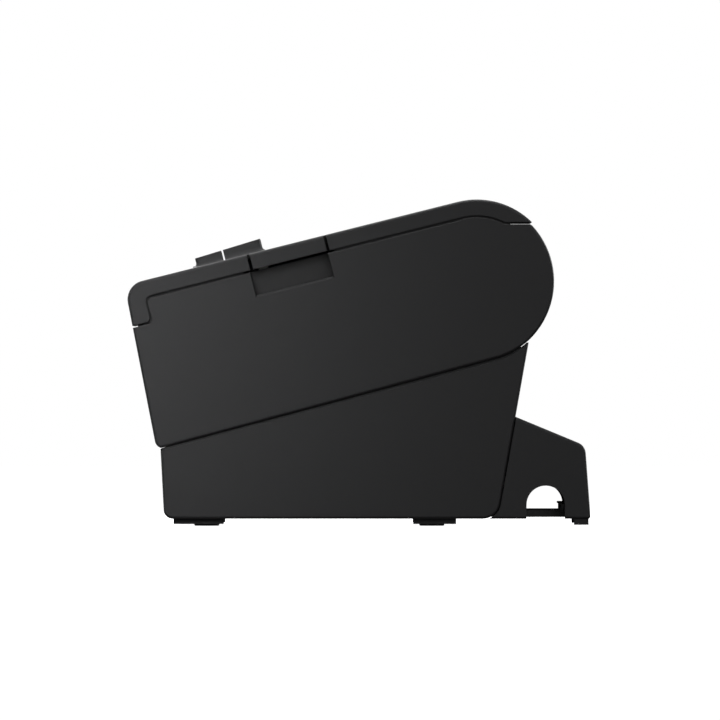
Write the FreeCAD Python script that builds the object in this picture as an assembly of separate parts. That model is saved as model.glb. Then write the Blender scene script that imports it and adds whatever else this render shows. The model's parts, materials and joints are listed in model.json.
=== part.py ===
"""Desktop receipt printer for 80 mm paper.

Frame: +Z up, front towards -Y, origin on the table under the middle of the printer.
The mechanism follows the sloping deck, so it is drawn in deck coordinates: s runs up the
slope from the front edge, n stands square on the deck, and x runs across the printer.
All sizes are in millimetres and degrees.
"""
import FreeCAD, Part
import math
import os

# Fits
RUN = 0.05
FIT = 0.3
PRESS = 0.02

# Body
BODY_WIDTH = 145.0
PAPER_WIDTH = 80.0
WALL = 2.2
SIDE_ROUND = 1.2
SEAM_GAP = 0.9

# Deck and front face
DECK_FRONT_Y = -106.7
DECK_FRONT_Z = 109.55
DECK_ANGLE = 14.05
FRONT_LEAN = 11.03
FRONT_TOP_ROUND = 8.65
BAND_DEPTH = 7.3
DROP_DEPTH = 18.9
DROP_LENGTH = 7.5
DROP_INNER_ROUND = 2.0
DROP_OUTER_ROUND = 3.0
EDGE_BREAK = 0.5

# Rear of the roll cover
APEX_AT = 156.3
APEX_RADIUS = 35.8
TAIL_Z = 138.2
ROOF_BASE_Z = 68.65
ROOF_END_ANGLE = -10.0

# Upper case
SEAM_FRONT_Y = -92.0
SEAM_FRONT_Z = 34.3
SEAM_ANGLE = 15.0
SEAM_GROOVE = 1.2
REVEAL_INSET = 0.8
REVEAL_RISE = 0.8
SEAM_BEND_Y = 62.0
CASE_FRONT_ROUND = 4.0
CASE_FOOT_Z = 84.6
BULGE_REAR_Y = 88.85
BULGE_Z = 111.39
BULGE_RADIUS = 37.18
LEDGE_Z = 137.3
LEDGE_ROUND = 2.3
CROWN_ANGLE = 60.0

# Lower case
LOWER_SET_IN = 0.5
LOWER_FRONT_Y = -90.25
LOWER_FRONT_LEAN = 2.93
LOWER_BOTTOM = 3.2
LOWER_FRONT_ROUND = 4.1
LOWER_REAR_ROUND = 8.0
LOWER_REAR_Y = 63.05
LOWER_REAR_LEAN = 10.04
LOWER_REAR_TOP = 83.5
LIP_THICK = 1.4
LIP_RISE = 2.5
LIP_ROOT = 4.0
LIP_REAR_Y = 73.5

# Feet
FOOT_BLOCK_BOTTOM = 0.8
FOOT_BLOCK_WIDTH = 16.0
FOOT_INSET = 14.0
FRONT_FOOT_Y = -73.0
FRONT_FOOT_LENGTH = 22.9
FRONT_PAD_Y = -69.3
REAR_FOOT_Y = 34.5
REAR_FOOT_LENGTH = 19.6
REAR_PAD_Y = 33.2
PAD_RADIUS = 5.7
PAD_HEIGHT = 1.8
PAD_BEVEL = 0.5

# Paper exit lips
SLOT_AT = 46.1
SLOT_WIDTH = 1.1
EXIT_MARGIN = 2.0
FRONT_LIP_LENGTH = 12.2
REAR_LIP_LENGTH = 17.6
LIP_HEIGHT = 4.15
LIP_SLOPE = 3.0
LIP_FLARE = 2.3
LIP_CORNER = 1.5

# Cutter cover and control panel
PANEL_MARGIN = 4.5
SPLIT_GAP = 0.4
TONGUE_LEFT_MARGIN = 1.3
TONGUE_RIGHT_MARGIN = 1.0
STRIP_END = 57.2
SHOULDER_GAP = 1.2
TAB_AT = 4.0
TAB_END = 54.0
TAB_THICK = 1.5
TAB_DROP = 12.0
FRONT_TAB_END = 11.0
FRONT_TAB_DROP = 19.5
ROLL_TAB_DROP = 10.2
ROLL_TAB_START = 59.5
TAIL_TAB_START = 65.0
TAIL_TAB_END = 69.0
TAIL_TAB_DROP = 1.5
TONGUE_THICK = 1.3
TONGUE_SET_IN = 3.7
TONGUE_START = 1.4
TONGUE_END = 10.0
TONGUE_TOP = -17.2
TONGUE_ROOT = -20.1
TONGUE_FOOT = -23.0

# Control panel fittings
BUTTON_AT = 36.0
BUTTON_RADIUS = 4.6
BUTTON_PROUD = 0.9
BUTTON_FLANGE = 1.4
BUTTON_TRAVEL = 0.8
BUTTON_FLANGE_AT = 3.6
LENS_COUNT = 3
LENS_AT = 14.0
LENS_PITCH = 5.5
LENS_LENGTH = 2.4
LENS_WIDTH = 6.0
LENS_PROUD = 0.15
PANEL_BOARD_AT = 8.0
PANEL_BOARD_THICK = 1.4
PANEL_BOARD_FRONT = 12.0
PANEL_BOARD_REAR = 44.0
PANEL_POST_RADIUS = 1.8
PANEL_POST_INSET = 6.6
SWITCH_CAP_RADIUS = 2.0

# Release lever
LEVER_START = 58.4
LEVER_END = 93.2
LEVER_PIVOT_S = 63.2
LEVER_PIVOT_N = -4.9
LEVER_SHAFT_RADIUS = 1.25
LEVER_GAP = 0.8
LEVER_SHAFT_SHARE = 0.6
LEVER_GRIP_AT = 8.8
RECESS_START = 56.8
RECESS_END = 93.4
RECESS_DEPTH = 19.8
RECESS_WIDTH = 11.5
HOOK_GAP = 0.7
HOOK_THICK = 2.0
HOOK_LENGTH = 18.0
HOOK_TOE = 2.4
HOOK_NOSE_REACH = 2.6
HOOK_NOSE_START = 13.0
HOOK_NOSE_TIP = 14.8
HOOK_NOSE_END = 15.5
SPRING_GAP = 0.7
SPRING_LENGTH = 5.5
SPRING_THICK = 0.7
SPRING_END_GAP = 1.3

# Roll cover hinge
HINGE_Y = 77.0
HINGE_Z = 118.0
HINGE_PIN_RADIUS = 2.0
ARM_OUT = 10.0
ARM_THICK = 4.0
ARM_WIDTH = 4.5
ARM_REACH = 24.0
ARM_EYE = 4.0
BOSS_RADIUS = 5.0
FLANGE_LENGTH = 14.0

# Platen
PLATEN_S = 52.6
PLATEN_N = -23.0
PLATEN_RADIUS = 6.0
PLATEN_MARGIN = 1.0
PLATEN_CORE = 3.0
JOURNAL_RADIUS = 2.0
BEARING_RADIUS = 4.0
BEARING_WIDTH = 2.8
EAR_GAP = 2.2
EAR_THICK = 2.0
EAR_REAR = 62.0
EAR_BOTTOM = -27.5

# Gear train
GEAR_OUT = 2.4
GEAR_WIDTH = 3.0
GEAR_CLEAR = 0.2
TOOTH_DEPTH = 1.5
TOOTH_ROOT_SHARE = 0.32
TOOTH_TIP_SHARE = 0.14
PLATEN_TEETH = 16
IDLER_TEETH = 32
PINION_TEETH = 12
PLATEN_GEAR_RADIUS = 5.9
IDLER_RADIUS = 11.9
PINION_RADIUS = 4.7
IDLER_BEARING = 236.3
PINION_BEARING = 169.0
STUD_RADIUS = 2.0
MOTOR_SHAFT_RADIUS = 1.2
MOTOR_HOLE_RADIUS = 2.4
MOTOR_RADIUS = 9.0
MOTOR_LENGTH = 18.0

# Mechanism frame
FRAME_GAP = 1.2
FRAME_THICK = 1.2
FRAME_FRONT = 10.0
FRAME_REAR = 62.0
FRAME_TOP = -10.5
FRAME_BOTTOM = -48.0
FRAME_FRONT_TOP = -24.0
EAR_TOP = -2.9
EAR_WIDTH = 4.6
NOTCH_DRIFT = 4.2
SPRING_BAR_AT = 33.0
SPRING_BAR_TOP = -17.0
SPRING_BAR_BOTTOM = -24.0

# Print head
SINK_FRONT = 37.0
SINK_REAR = 45.7
SINK_TOP = -17.0
SINK_BOTTOM = -34.0
SINK_GROOVES = 9
SINK_GROOVE_WIDTH = 2.0
SINK_GROOVE_DEPTH = 2.5
HEAD_THICK = 0.6
HEAD_TOP = -18.0
HEAD_BOTTOM = -31.0
HEAD_PIVOT_S = 42.0
HEAD_PIVOT_N = -32.0
HEAD_PIN_RADIUS = 1.5
HEAD_SPRING_X = 24.0
HEAD_SPRING_RADIUS = 2.4
HEAD_SPRING_LENGTH = 2.2
CABLE_WIDTH = 28.0
CABLE_THICK = 0.4
CABLE_Y = -57.8
CABLE_SLOT = 5.0
CABLE_SLOT_DROP = 10.0

# Cutter
CUTTER_FRONT = 12.0
CUTTER_REAR = 45.0
CUTTER_PLATE_TOP = -14.3
CUTTER_PLATE_THICK = 1.2
BLADE_MARGIN = 1.0
BLADE_START = 30.5
BLADE_END = 37.0
BLADE_THICK = 0.8
BLADE_BEVEL = 0.6
RACK_WIDTH = 2.8
RACK_LENGTH = 21.0
CUTTER_GEAR_S = 22.0
CUTTER_GEAR_RADIUS = 7.9
CUTTER_GEAR_TEETH = 20
CUTTER_GEAR_THICK = 2.0
KNOB_RADIUS = 4.5
KNOB_HEIGHT = 3.4
KNOB_TEETH = 14
KNOB_GROOVE = 0.6
CUTTER_STUD_RADIUS = 1.5
CUTTER_PINION_RADIUS = 3.0
CUTTER_PINION_TEETH = 8
CUTTER_SHAFT_RADIUS = 1.0
CUTTER_MOTOR_RADIUS = 7.0
CUTTER_MOTOR_LENGTH = 15.5
FIXED_BLADE_THICK = 0.8
FIXED_BLADE_TOP = -3.0
FIXED_BLADE_DEPTH = 9.0

# Chassis with the paper bucket
BUCKET_Y = 32.3
BUCKET_Z = 98.5
BUCKET_RADIUS = 41.5
BUCKET_WALL = 2.0
BUCKET_MARGIN = 2.0
CHEEK_TOP = 112.0
PLATFORM_FRONT = 8.0
PLATFORM_REAR = 64.0
PLATFORM_THICK = 2.5
PLATFORM_GAP = 0.4
WEB_Z = 74.2
WEB_THICK = 2.5
LEG_X = 38.0
LEG_WIDTH = 6.0
FRONT_LEG_Y = -72.0
REAR_LEG_Y = 26.0
LEG_LENGTH = 12.0
LEG_FOOT_Z = 8.0

# Paper guide and sensors
GUIDE_FRONT = 50.0
GUIDE_N = -32.3
GUIDE_THICK = 1.2
END_SENSOR_X = 10.0
END_SENSOR_WIDTH = 10.0
END_SENSOR_LENGTH = 6.0
END_SENSOR_HEIGHT = 3.5
NEAR_PIVOT_OUT = 4.2
NEAR_Y = 22.0
NEAR_Z = 74.0
NEAR_HEIGHT = 6.0
NEAR_LENGTH = 16.0
NEAR_THICK = 2.7
NEAR_SLEEVE = 2.4
NEAR_PIN_RADIUS = 1.2
NUB_LENGTH = 3.0
NUB_PROUD = 1.5
WINDOW_MARGIN = 2.0
LUG_THICK = 1.7
LUG_HALF = 4.0
NEAR_SENSOR_LENGTH = 9.0

# Main board
BOARD_WIDTH = 73.0
BOARD_FRONT = -62.0
BOARD_REAR = 60.0
BOARD_Z = 9.4
BOARD_THICK = 1.6
STANDOFF_RADIUS = 2.5
STANDOFF_INSET = 5.0
STANDOFF_REAR_INSET = 20.0
CABLE_SOCKET_HEIGHT = 3.0
CABLE_SOCKET_LENGTH = 5.0
CHIP_HEIGHT = 1.8
CHIP_SIZE = 16.0
CAP_RADIUS = 4.0
CAP_HEIGHT = 12.0
CAP_COUNT = 3
CAP_PITCH = 12.0
BUZZER_RADIUS = 6.0
BUZZER_HEIGHT = 8.0
BUZZER_HOLE = 1.2

# Connectors
PORT_FACE_Y = 67.6
PORT_WALL = 1.5
USB_X = -29.0
USB_WIDTH = 12.0
USB_HEIGHT = 11.0
USB_DEPTH = 16.0
LAN_X = -10.0
LAN_WIDTH = 16.0
LAN_HEIGHT = 13.5
LAN_DEPTH = 19.0
DRAWER_X = 10.0
DRAWER_WIDTH = 14.0
DRAWER_HEIGHT = 12.5
DRAWER_DEPTH = 17.0
INLET_X = 29.0
INLET_WIDTH = 14.0
INLET_HEIGHT = 12.0
INLET_DEPTH = 15.0
INLET_BORE = 4.6
INLET_PIN = 1.2
INLET_PIN_ANGLES = (90, 210, 330)
INTERFACE_WIDTH = 92.0
INTERFACE_BOTTOM = 8.6
INTERFACE_TOP = 33.0
INTERFACE_THICK = 1.2
INTERFACE_INSET = 0.5
INTERFACE_SCREW_X = 42.5
INTERFACE_SCREW_Z = 20.0
TRAY_BOTTOM = 3.9
TRAY_TOP = 7.3
TRAY_END = 95.2
TRAY_WIDTH = 100.0

# Connector cover
COVER_SET_IN = 1.0
COVER_TOP_Z = 49.7
COVER_TOP_SLOPE = 22.5
COVER_REAR_Y = 105.5
COVER_REAR_LEAN = 4.28
COVER_ROUND = 5.5
COVER_BOTTOM = 3.2
COVER_CORNER = 1.2
COVER_SIDE_ROUND = 1.1
ARCH_Y = 85.0
ARCH_Z = 9.6
ARCH_RADIUS = 8.7
COVER_FOOT_START = 97.9
COVER_FOOT_LENGTH = 6.7
COVER_FOOT_BOTTOM = 0.5
COVER_FOOT_WIDTH = 10.0

# Power switch
SWITCH_X = -45.0
SWITCH_Z = 19.0
SWITCH_WIDTH = 15.0
SWITCH_HEIGHT = 13.0
SWITCH_DEPTH = 14.0
SWITCH_RIM = 2.0
SWITCH_INSET = 0.6
ROCKER_SET_BACK = 4.6
ROCKER_REACH = 4.2
ROCKER_HALF = 3.6
ROCKER_DISH = 0.6
ROCKER_TILT = 7.0
ROCKER_BACK = 1.2
ROCKER_PIN = 0.9

# Underside
DIP_X = 20.0
DIP_Y = -30.0
DIP_WIDTH = 24.0
DIP_LENGTH = 20.0
DIP_THICK = 1.2
DIP_CLEAR = 0.05
SCREW_INSET = 12.0
SCREW_FRONT_Y = -50.0
SCREW_REAR_Y = 52.0
SCREW_HEAD_RADIUS = 3.0
SCREW_HEAD_HEIGHT = 2.2
SCREW_RADIUS = 1.5
SCREW_BOSS_RADIUS = 4.5
SCREW_BOSS_TOP = 20.0
FRAME_SCREW_INSET = 6.4
FRAME_SCREW_FRONT = 14.0
FRAME_SCREW_REAR = 58.0
FRAME_SCREW_HEAD = 2.6
FRAME_SCREW_HEIGHT = 1.6

# Widths worked out from the body
HALF = BODY_WIDTH / 2
INNER_HALF = HALF - WALL
LOWER_HALF = HALF - LOWER_SET_IN
LOWER_INNER = LOWER_HALF - WALL
COVER_HALF = HALF - COVER_SET_IN
FOOT_X = LOWER_HALF - FOOT_INSET
SCREW_X = LOWER_HALF - SCREW_INSET

# Widths worked out from the paper, from the middle outwards
PAPER_HALF = PAPER_WIDTH / 2
BLADE_HALF = PAPER_HALF + BLADE_MARGIN
PLATEN_HALF = PAPER_HALF + PLATEN_MARGIN
LIP_HALF = PAPER_HALF + EXIT_MARGIN
CHEEK_X = PAPER_HALF + BUCKET_MARGIN
ARM_X = CHEEK_X + ARM_OUT
EAR_X = BLADE_HALF + EAR_GAP
FRAME_X = EAR_X + EAR_THICK + FRAME_GAP
FRAME_OUT = FRAME_X + FRAME_THICK
FRAME_SCREW_X = FRAME_X - FRAME_SCREW_INSET
PLATFORM_HALF = FRAME_X - PLATFORM_GAP
GEAR_X = FRAME_OUT + GEAR_OUT
HOOK_X = FRAME_OUT + HOOK_GAP
SPRING_X = HOOK_X + HOOK_THICK + SPRING_GAP
TONGUE_LEFT = GEAR_X + GEAR_WIDTH + TONGUE_LEFT_MARGIN
TONGUE_RIGHT = HOOK_X + HOOK_THICK + TONGUE_RIGHT_MARGIN
LEVER_INNER = SPRING_X + SPRING_LENGTH + SPRING_END_GAP
LEVER_SHAFT_END = LEVER_INNER + (HALF - LEVER_INNER) * LEVER_SHAFT_SHARE
PANEL_INNER = -LIP_HALF - PANEL_MARGIN
PANEL_WIDTH = HALF + PANEL_INNER
CUTTER_LEFT = PANEL_INNER + SPLIT_GAP

# Other values worked out from the sizes above
CASE_BAND = BAND_DEPTH + SEAM_GAP
CASE_DROP = DROP_DEPTH + SEAM_GAP
CASE_DROP_AT = DROP_LENGTH + SEAM_GAP
ROLL_START = SLOT_AT + SLOT_WIDTH
SHOULDER_START = STRIP_END + SHOULDER_GAP
FLOOR_Z = LOWER_BOTTOM + WALL
BOARD_TOP = BOARD_Z + BOARD_THICK
BUCKET_OUTER = BUCKET_RADIUS + BUCKET_WALL
FAR = 400.0


def vec(x, y, z):
    """A point or direction."""
    return FreeCAD.Vector(x, y, z)


def deck(s, n):
    """Side-view place (y, z) of a point given along and above the deck."""
    angle = math.radians(DECK_ANGLE)
    y = DECK_FRONT_Y + s * math.cos(angle) - n * math.sin(angle)
    z = DECK_FRONT_Z + s * math.sin(angle) + n * math.cos(angle)
    return (y, z)


def front_at(z, inset=0.0):
    """Y of the leaning front face at a height, moved inwards by inset."""
    lean = math.radians(FRONT_LEAN)
    return DECK_FRONT_Y + (DECK_FRONT_Z - z) * math.tan(lean) + inset / math.cos(lean)


def lower_front_at(z, inset=0.0):
    """Y of the lower case's front wall at a height."""
    lean = math.radians(LOWER_FRONT_LEAN)
    return LOWER_FRONT_Y + (SEAM_FRONT_Z - z) * math.tan(lean) + inset / math.cos(lean)


def lower_rear_at(z, inset=0.0):
    """Y of the lower case's rear wall at a height."""
    lean = math.radians(LOWER_REAR_LEAN)
    return LOWER_REAR_Y + (z - LOWER_BOTTOM) * math.tan(lean) - inset / math.cos(lean)


def seam_at(y, rise=0.0):
    """Z of the diagonal seam's middle line, moved square to it by rise."""
    angle = math.radians(SEAM_ANGLE)
    return SEAM_FRONT_Z + (y - SEAM_FRONT_Y) * math.tan(angle) + rise / math.cos(angle)


def on_circle(centre, radius, degrees):
    """Side-view point of a circle."""
    angle = math.radians(degrees)
    return (centre[0] + radius * math.cos(angle), centre[1] + radius * math.sin(angle))


def bulge_at(z, inset=0.0):
    """Y of the rounded rear wall at a height."""
    radius = BULGE_RADIUS - inset
    return BULGE_Y + math.sqrt(radius * radius - (z - BULGE_Z) ** 2)


class Path:
    """A closed outline in the side view, drawn from point to point."""

    def __init__(self, start):
        self.edges = []
        self.start = vec(0, *start)
        self.last = self.start
        self.heading = None

    def line(self, point):
        """Draws a straight run."""
        end = vec(0, *point)
        self.edges.append(Part.LineSegment(self.last, end).toShape())
        self.heading = (end - self.last).normalize()
        self.last = end
        return self

    def arc(self, middle, point):
        """Draws an arc through a middle point."""
        end = vec(0, *point)
        self.edges.append(Part.Arc(self.last, vec(0, *middle), end).toShape())
        self.last = end
        return self

    def swing(self, centre, radius, first, last):
        """Draws an arc of a circle, after a straight run to its first angle if needed."""
        begin = vec(0, *on_circle(centre, radius, first))
        if begin.distanceToPoint(self.last) > 1e-6:
            self.line(on_circle(centre, radius, first))
        return self.arc(on_circle(centre, radius, (first + last) / 2), on_circle(centre, radius, last))

    def bend(self, corner, onward, radius):
        """Runs to a corner and round it towards the point after it."""
        here = vec(0, *corner)
        back = (self.last - here).normalize()
        ahead = (vec(0, *onward) - here).normalize()
        half = back.getAngle(ahead) / 2
        reach = radius / math.tan(half)
        inward = (back + ahead).normalize()
        enter = here + back * reach
        leave = here + ahead * reach
        middle = here + inward * (radius / math.sin(half) - radius)
        self.line((enter.y, enter.z))
        self.arc((middle.y, middle.z), (leave.y, leave.z))
        self.heading = ahead
        return self

    def glide(self, point):
        """Draws an arc that leaves in the direction of the last straight run."""
        end = vec(0, *point)
        chord = end - self.last
        turn = self.heading.getAngle(chord)
        side = self.heading.cross(chord).x
        square = chord.cross(vec(1, 0, 0)).normalize()
        sagitta = chord.Length / 2 * math.tan(turn / 2)
        middle = self.last + chord * 0.5 + square * math.copysign(sagitta, side)
        return self.arc((middle.y, middle.z), point)

    def solid(self, x0, x1):
        """Closes the outline and draws it out from x0 to x1."""
        if self.last.distanceToPoint(self.start) > 1e-6:
            self.edges.append(Part.LineSegment(self.last, self.start).toShape())
        face = Part.Face(Part.Wire(self.edges))
        face.translate(vec(x0, 0, 0))
        return face.extrude(vec(x1 - x0, 0, 0))


def slab(points, x0, x1):
    """A straight-sided outline drawn out across the printer."""
    path = Path(points[0])
    for point in points[1:]:
        path.line(point)
    return path.solid(x0, x1)


def deck_slab(points, x0, x1):
    """An outline given in deck coordinates, drawn out across the printer."""
    return slab([deck(s, n) for s, n in points], x0, x1)


def deck_box(s0, s1, n0, n1, x0, x1):
    """A box that lies along the deck."""
    return deck_slab([(s0, n0), (s1, n0), (s1, n1), (s0, n1)], x0, x1)


def box(x0, x1, y0, y1, z0, z1):
    """An upright box between two corners."""
    return Part.makeBox(x1 - x0, y1 - y0, z1 - z0, vec(x0, y0, z0))


def rod(radius, x0, x1, centre):
    """A cylinder across the printer at a side-view point."""
    return Part.makeCylinder(radius, x1 - x0, vec(x0, *centre), vec(1, 0, 0))


def post(radius, x, s, n0, n1):
    """A cylinder that stands square on the deck."""
    foot = vec(x, *deck(s, n0))
    head = vec(x, *deck(s, n1))
    return Part.makeCylinder(radius, (head - foot).Length, foot, head - foot)


def upright(radius, x, y, z0, z1):
    """A vertical cylinder."""
    return Part.makeCylinder(radius, z1 - z0, vec(x, y, z0))


def join(*shapes):
    """Shapes fused into one clean solid."""
    first = shapes[0]
    return first.fuse(list(shapes[1:])).removeSplitter()


def less(shape, *tools):
    """A shape with others cut away."""
    return shape.cut(list(tools)).removeSplitter()


def both_sides(shape):
    """A shape and its mirror image on the other side of the printer."""
    return [shape, shape.mirror(vec(0, 0, 0), vec(1, 0, 0))]


def round_at(shape, radius, points):
    """A shape with the edges through the given points rounded."""
    chosen = []
    for point in points:
        probe = Part.Vertex(point)
        edge = min(shape.Edges, key=lambda candidate: candidate.distToShape(probe)[0])
        chosen.append(edge)
    return shape.makeFillet(radius, chosen)


def gear(radius, depth, teeth, thick):
    """A spur gear along +X from the origin, with straight-flanked teeth."""
    root = radius - depth
    pitch = 2 * math.pi / teeth
    profile = ((-TOOTH_ROOT_SHARE, root), (-TOOTH_TIP_SHARE, radius),
               (TOOTH_TIP_SHARE, radius), (TOOTH_ROOT_SHARE, root))
    corners = []
    for tooth in range(teeth):
        for share, reach in profile:
            angle = (tooth + share) * pitch
            corners.append((reach * math.cos(angle), reach * math.sin(angle)))
    return slab(corners, 0, thick)


def feed_gear(radius, teeth, centre):
    """A gear of the paper feed, in its place outside the left frame plate."""
    shape = gear(radius, TOOTH_DEPTH, teeth, GEAR_WIDTH)
    shape.translate(vec(-GEAR_X - GEAR_WIDTH, *centre))
    return shape


def deck_gear(radius, depth, teeth, x, s, n0, n1):
    """A gear whose axis stands square on the deck."""
    shape = gear(radius, depth, teeth, n1 - n0)
    shape.rotate(vec(0, 0, 0), vec(0, 1, 0), -90)
    shape.rotate(vec(0, 0, 0), vec(1, 0, 0), DECK_ANGLE)
    shape.translate(vec(x, *deck(s, n0)))
    return shape


APEX = deck(APEX_AT, -APEX_RADIUS)
BULGE_Y = BULGE_REAR_Y - BULGE_RADIUS
BULGE = (BULGE_Y, BULGE_Z)
BUCKET = (BUCKET_Y, BUCKET_Z)
HINGE = (HINGE_Y, HINGE_Z)
PLATEN = deck(PLATEN_S, PLATEN_N)
LEVER_PIVOT = deck(LEVER_PIVOT_S, LEVER_PIVOT_N)
HEAD_PIVOT = deck(HEAD_PIVOT_S, HEAD_PIVOT_N)
IDLER_REACH = PLATEN_GEAR_RADIUS + IDLER_RADIUS + GEAR_CLEAR
PINION_REACH = IDLER_RADIUS + PINION_RADIUS + GEAR_CLEAR
IDLER_SN = on_circle((PLATEN_S, PLATEN_N), IDLER_REACH, IDLER_BEARING)
PINION_SN = on_circle(IDLER_SN, PINION_REACH, PINION_BEARING)
IDLER = deck(*IDLER_SN)
PINION = deck(*PINION_SN)


def roof_blank():
    """Solid under the front face, deck and rounded rear top, with its side edges rounded."""
    path = Path((front_at(ROOF_BASE_Z), ROOF_BASE_Z))
    path.bend(deck(0, 0), deck(APEX_AT, 0), FRONT_TOP_ROUND)
    path.line(deck(APEX_AT, 0))
    path.swing(APEX, APEX_RADIUS, 90 + DECK_ANGLE, ROOF_END_ANGLE)
    path.line((APEX[0], ROOF_BASE_Z))
    blank = path.solid(-HALF, HALF)
    middle = deck(APEX_AT / 2, 0)
    return round_at(blank, SIDE_ROUND, [vec(-HALF, *middle), vec(HALF, *middle)])


ROOF = roof_blank()


def roof_hollow(x0, x1):
    """Space under the roof's wall, between two planes."""
    turn = math.radians(90 + FRONT_LEAN - DECK_ANGLE)
    corner = deck(WALL * math.tan(turn / 2), -WALL)
    path = Path((front_at(0, WALL), 0))
    path.bend(corner, deck(APEX_AT, -WALL), FRONT_TOP_ROUND - WALL)
    path.line(deck(APEX_AT, -WALL))
    path.swing(APEX, APEX_RADIUS - WALL, 90 + DECK_ANGLE, ROOF_END_ANGLE)
    path.line((APEX[0], 0))
    return path.solid(x0, x1)


def cover_band(x0, x1):
    """Space that the covers take above the case: the band along the deck and the front drop."""
    path = Path(deck(-FAR, -DROP_DEPTH))
    path.bend(deck(DROP_LENGTH, -DROP_DEPTH), deck(DROP_LENGTH, -BAND_DEPTH), DROP_INNER_ROUND)
    path.bend(deck(DROP_LENGTH, -BAND_DEPTH), deck(APEX_AT, -BAND_DEPTH), DROP_OUTER_ROUND)
    path.line(deck(APEX_AT, -BAND_DEPTH))
    radius = APEX_RADIUS - BAND_DEPTH
    tail = math.degrees(math.asin((TAIL_Z - APEX[1]) / radius))
    path.swing(APEX, radius, 90 + DECK_ANGLE, tail)
    path.line((FAR, TAIL_Z))
    path.line((FAR, FAR))
    path.line((-FAR, FAR))
    return path.solid(x0, x1)


def above_case():
    """Space above the upper case's rim."""
    path = Path(deck(-FAR, -CASE_DROP))
    path.bend(deck(CASE_DROP_AT, -CASE_DROP), deck(CASE_DROP_AT, -CASE_BAND), DROP_INNER_ROUND)
    path.bend(deck(CASE_DROP_AT, -CASE_BAND), deck(APEX_AT, -CASE_BAND), DROP_OUTER_ROUND)
    path.line(deck(APEX_AT, -CASE_BAND))
    radius = APEX_RADIUS - CASE_BAND
    ledge = math.degrees(math.asin((LEDGE_Z - APEX[1]) / radius))
    path.swing(APEX, radius, 90 + DECK_ANGLE, ledge)
    # Round between the ledge and the rear wall
    centre_z = LEDGE_Z - LEDGE_ROUND
    centre = (bulge_at(centre_z, LEDGE_ROUND), centre_z)
    rear = math.degrees(math.atan2(centre_z - BULGE_Z, centre[0] - BULGE_Y))
    path.swing(centre, LEDGE_ROUND, 90, rear)
    path.line((FAR, centre_z))
    path.line((FAR, FAR))
    path.line((-FAR, FAR))
    return path.solid(-FAR, FAR)


def case_blank():
    """Outer form of the upper case before its rim is cut, with its side edges rounded."""
    lean = math.radians(FRONT_LEAN)
    slope = math.radians(SEAM_ANGLE)
    groove = SEAM_GROOVE / 2
    # Centre of the front corner's round, square to the front face and to the seam
    rise = CASE_FRONT_ROUND / math.cos(slope)
    run = CASE_FRONT_ROUND / math.cos(lean)
    centre_y = SEAM_FRONT_Y + (run - rise * math.tan(lean)) / (1 + math.tan(slope) * math.tan(lean))
    centre = (centre_y, seam_at(centre_y, CASE_FRONT_ROUND))
    cut = math.degrees(math.acos((CASE_FRONT_ROUND - groove) / CASE_FRONT_ROUND))
    foot = on_circle(centre, CASE_FRONT_ROUND, SEAM_ANGLE - 90 - cut)
    path = Path(foot)
    path.line((SEAM_BEND_Y, seam_at(SEAM_BEND_Y, groove)))
    path.glide((bulge_at(CASE_FOOT_Z), CASE_FOOT_Z))
    low = math.degrees(math.asin((CASE_FOOT_Z - BULGE_Z) / BULGE_RADIUS))
    crown = BULGE_Z + BULGE_RADIUS * math.sin(math.radians(CROWN_ANGLE))
    path.swing(BULGE, BULGE_RADIUS, low, CROWN_ANGLE)
    path.line((front_at(crown), crown))
    touch = on_circle(centre, CASE_FRONT_ROUND, 180 + FRONT_LEAN)
    path.line(touch)
    sweep = (180 + FRONT_LEAN + 270 + SEAM_ANGLE - cut) / 2
    path.arc(on_circle(centre, CASE_FRONT_ROUND, sweep), foot)
    blank = path.solid(-HALF, HALF)
    front = (front_at(CASE_FOOT_Z), CASE_FOOT_Z)
    rear = (bulge_at(BULGE_Z), BULGE_Z)
    points = [vec(side, *place) for side in (-HALF, HALF) for place in (front, rear)]
    return round_at(blank, SIDE_ROUND, points)


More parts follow.
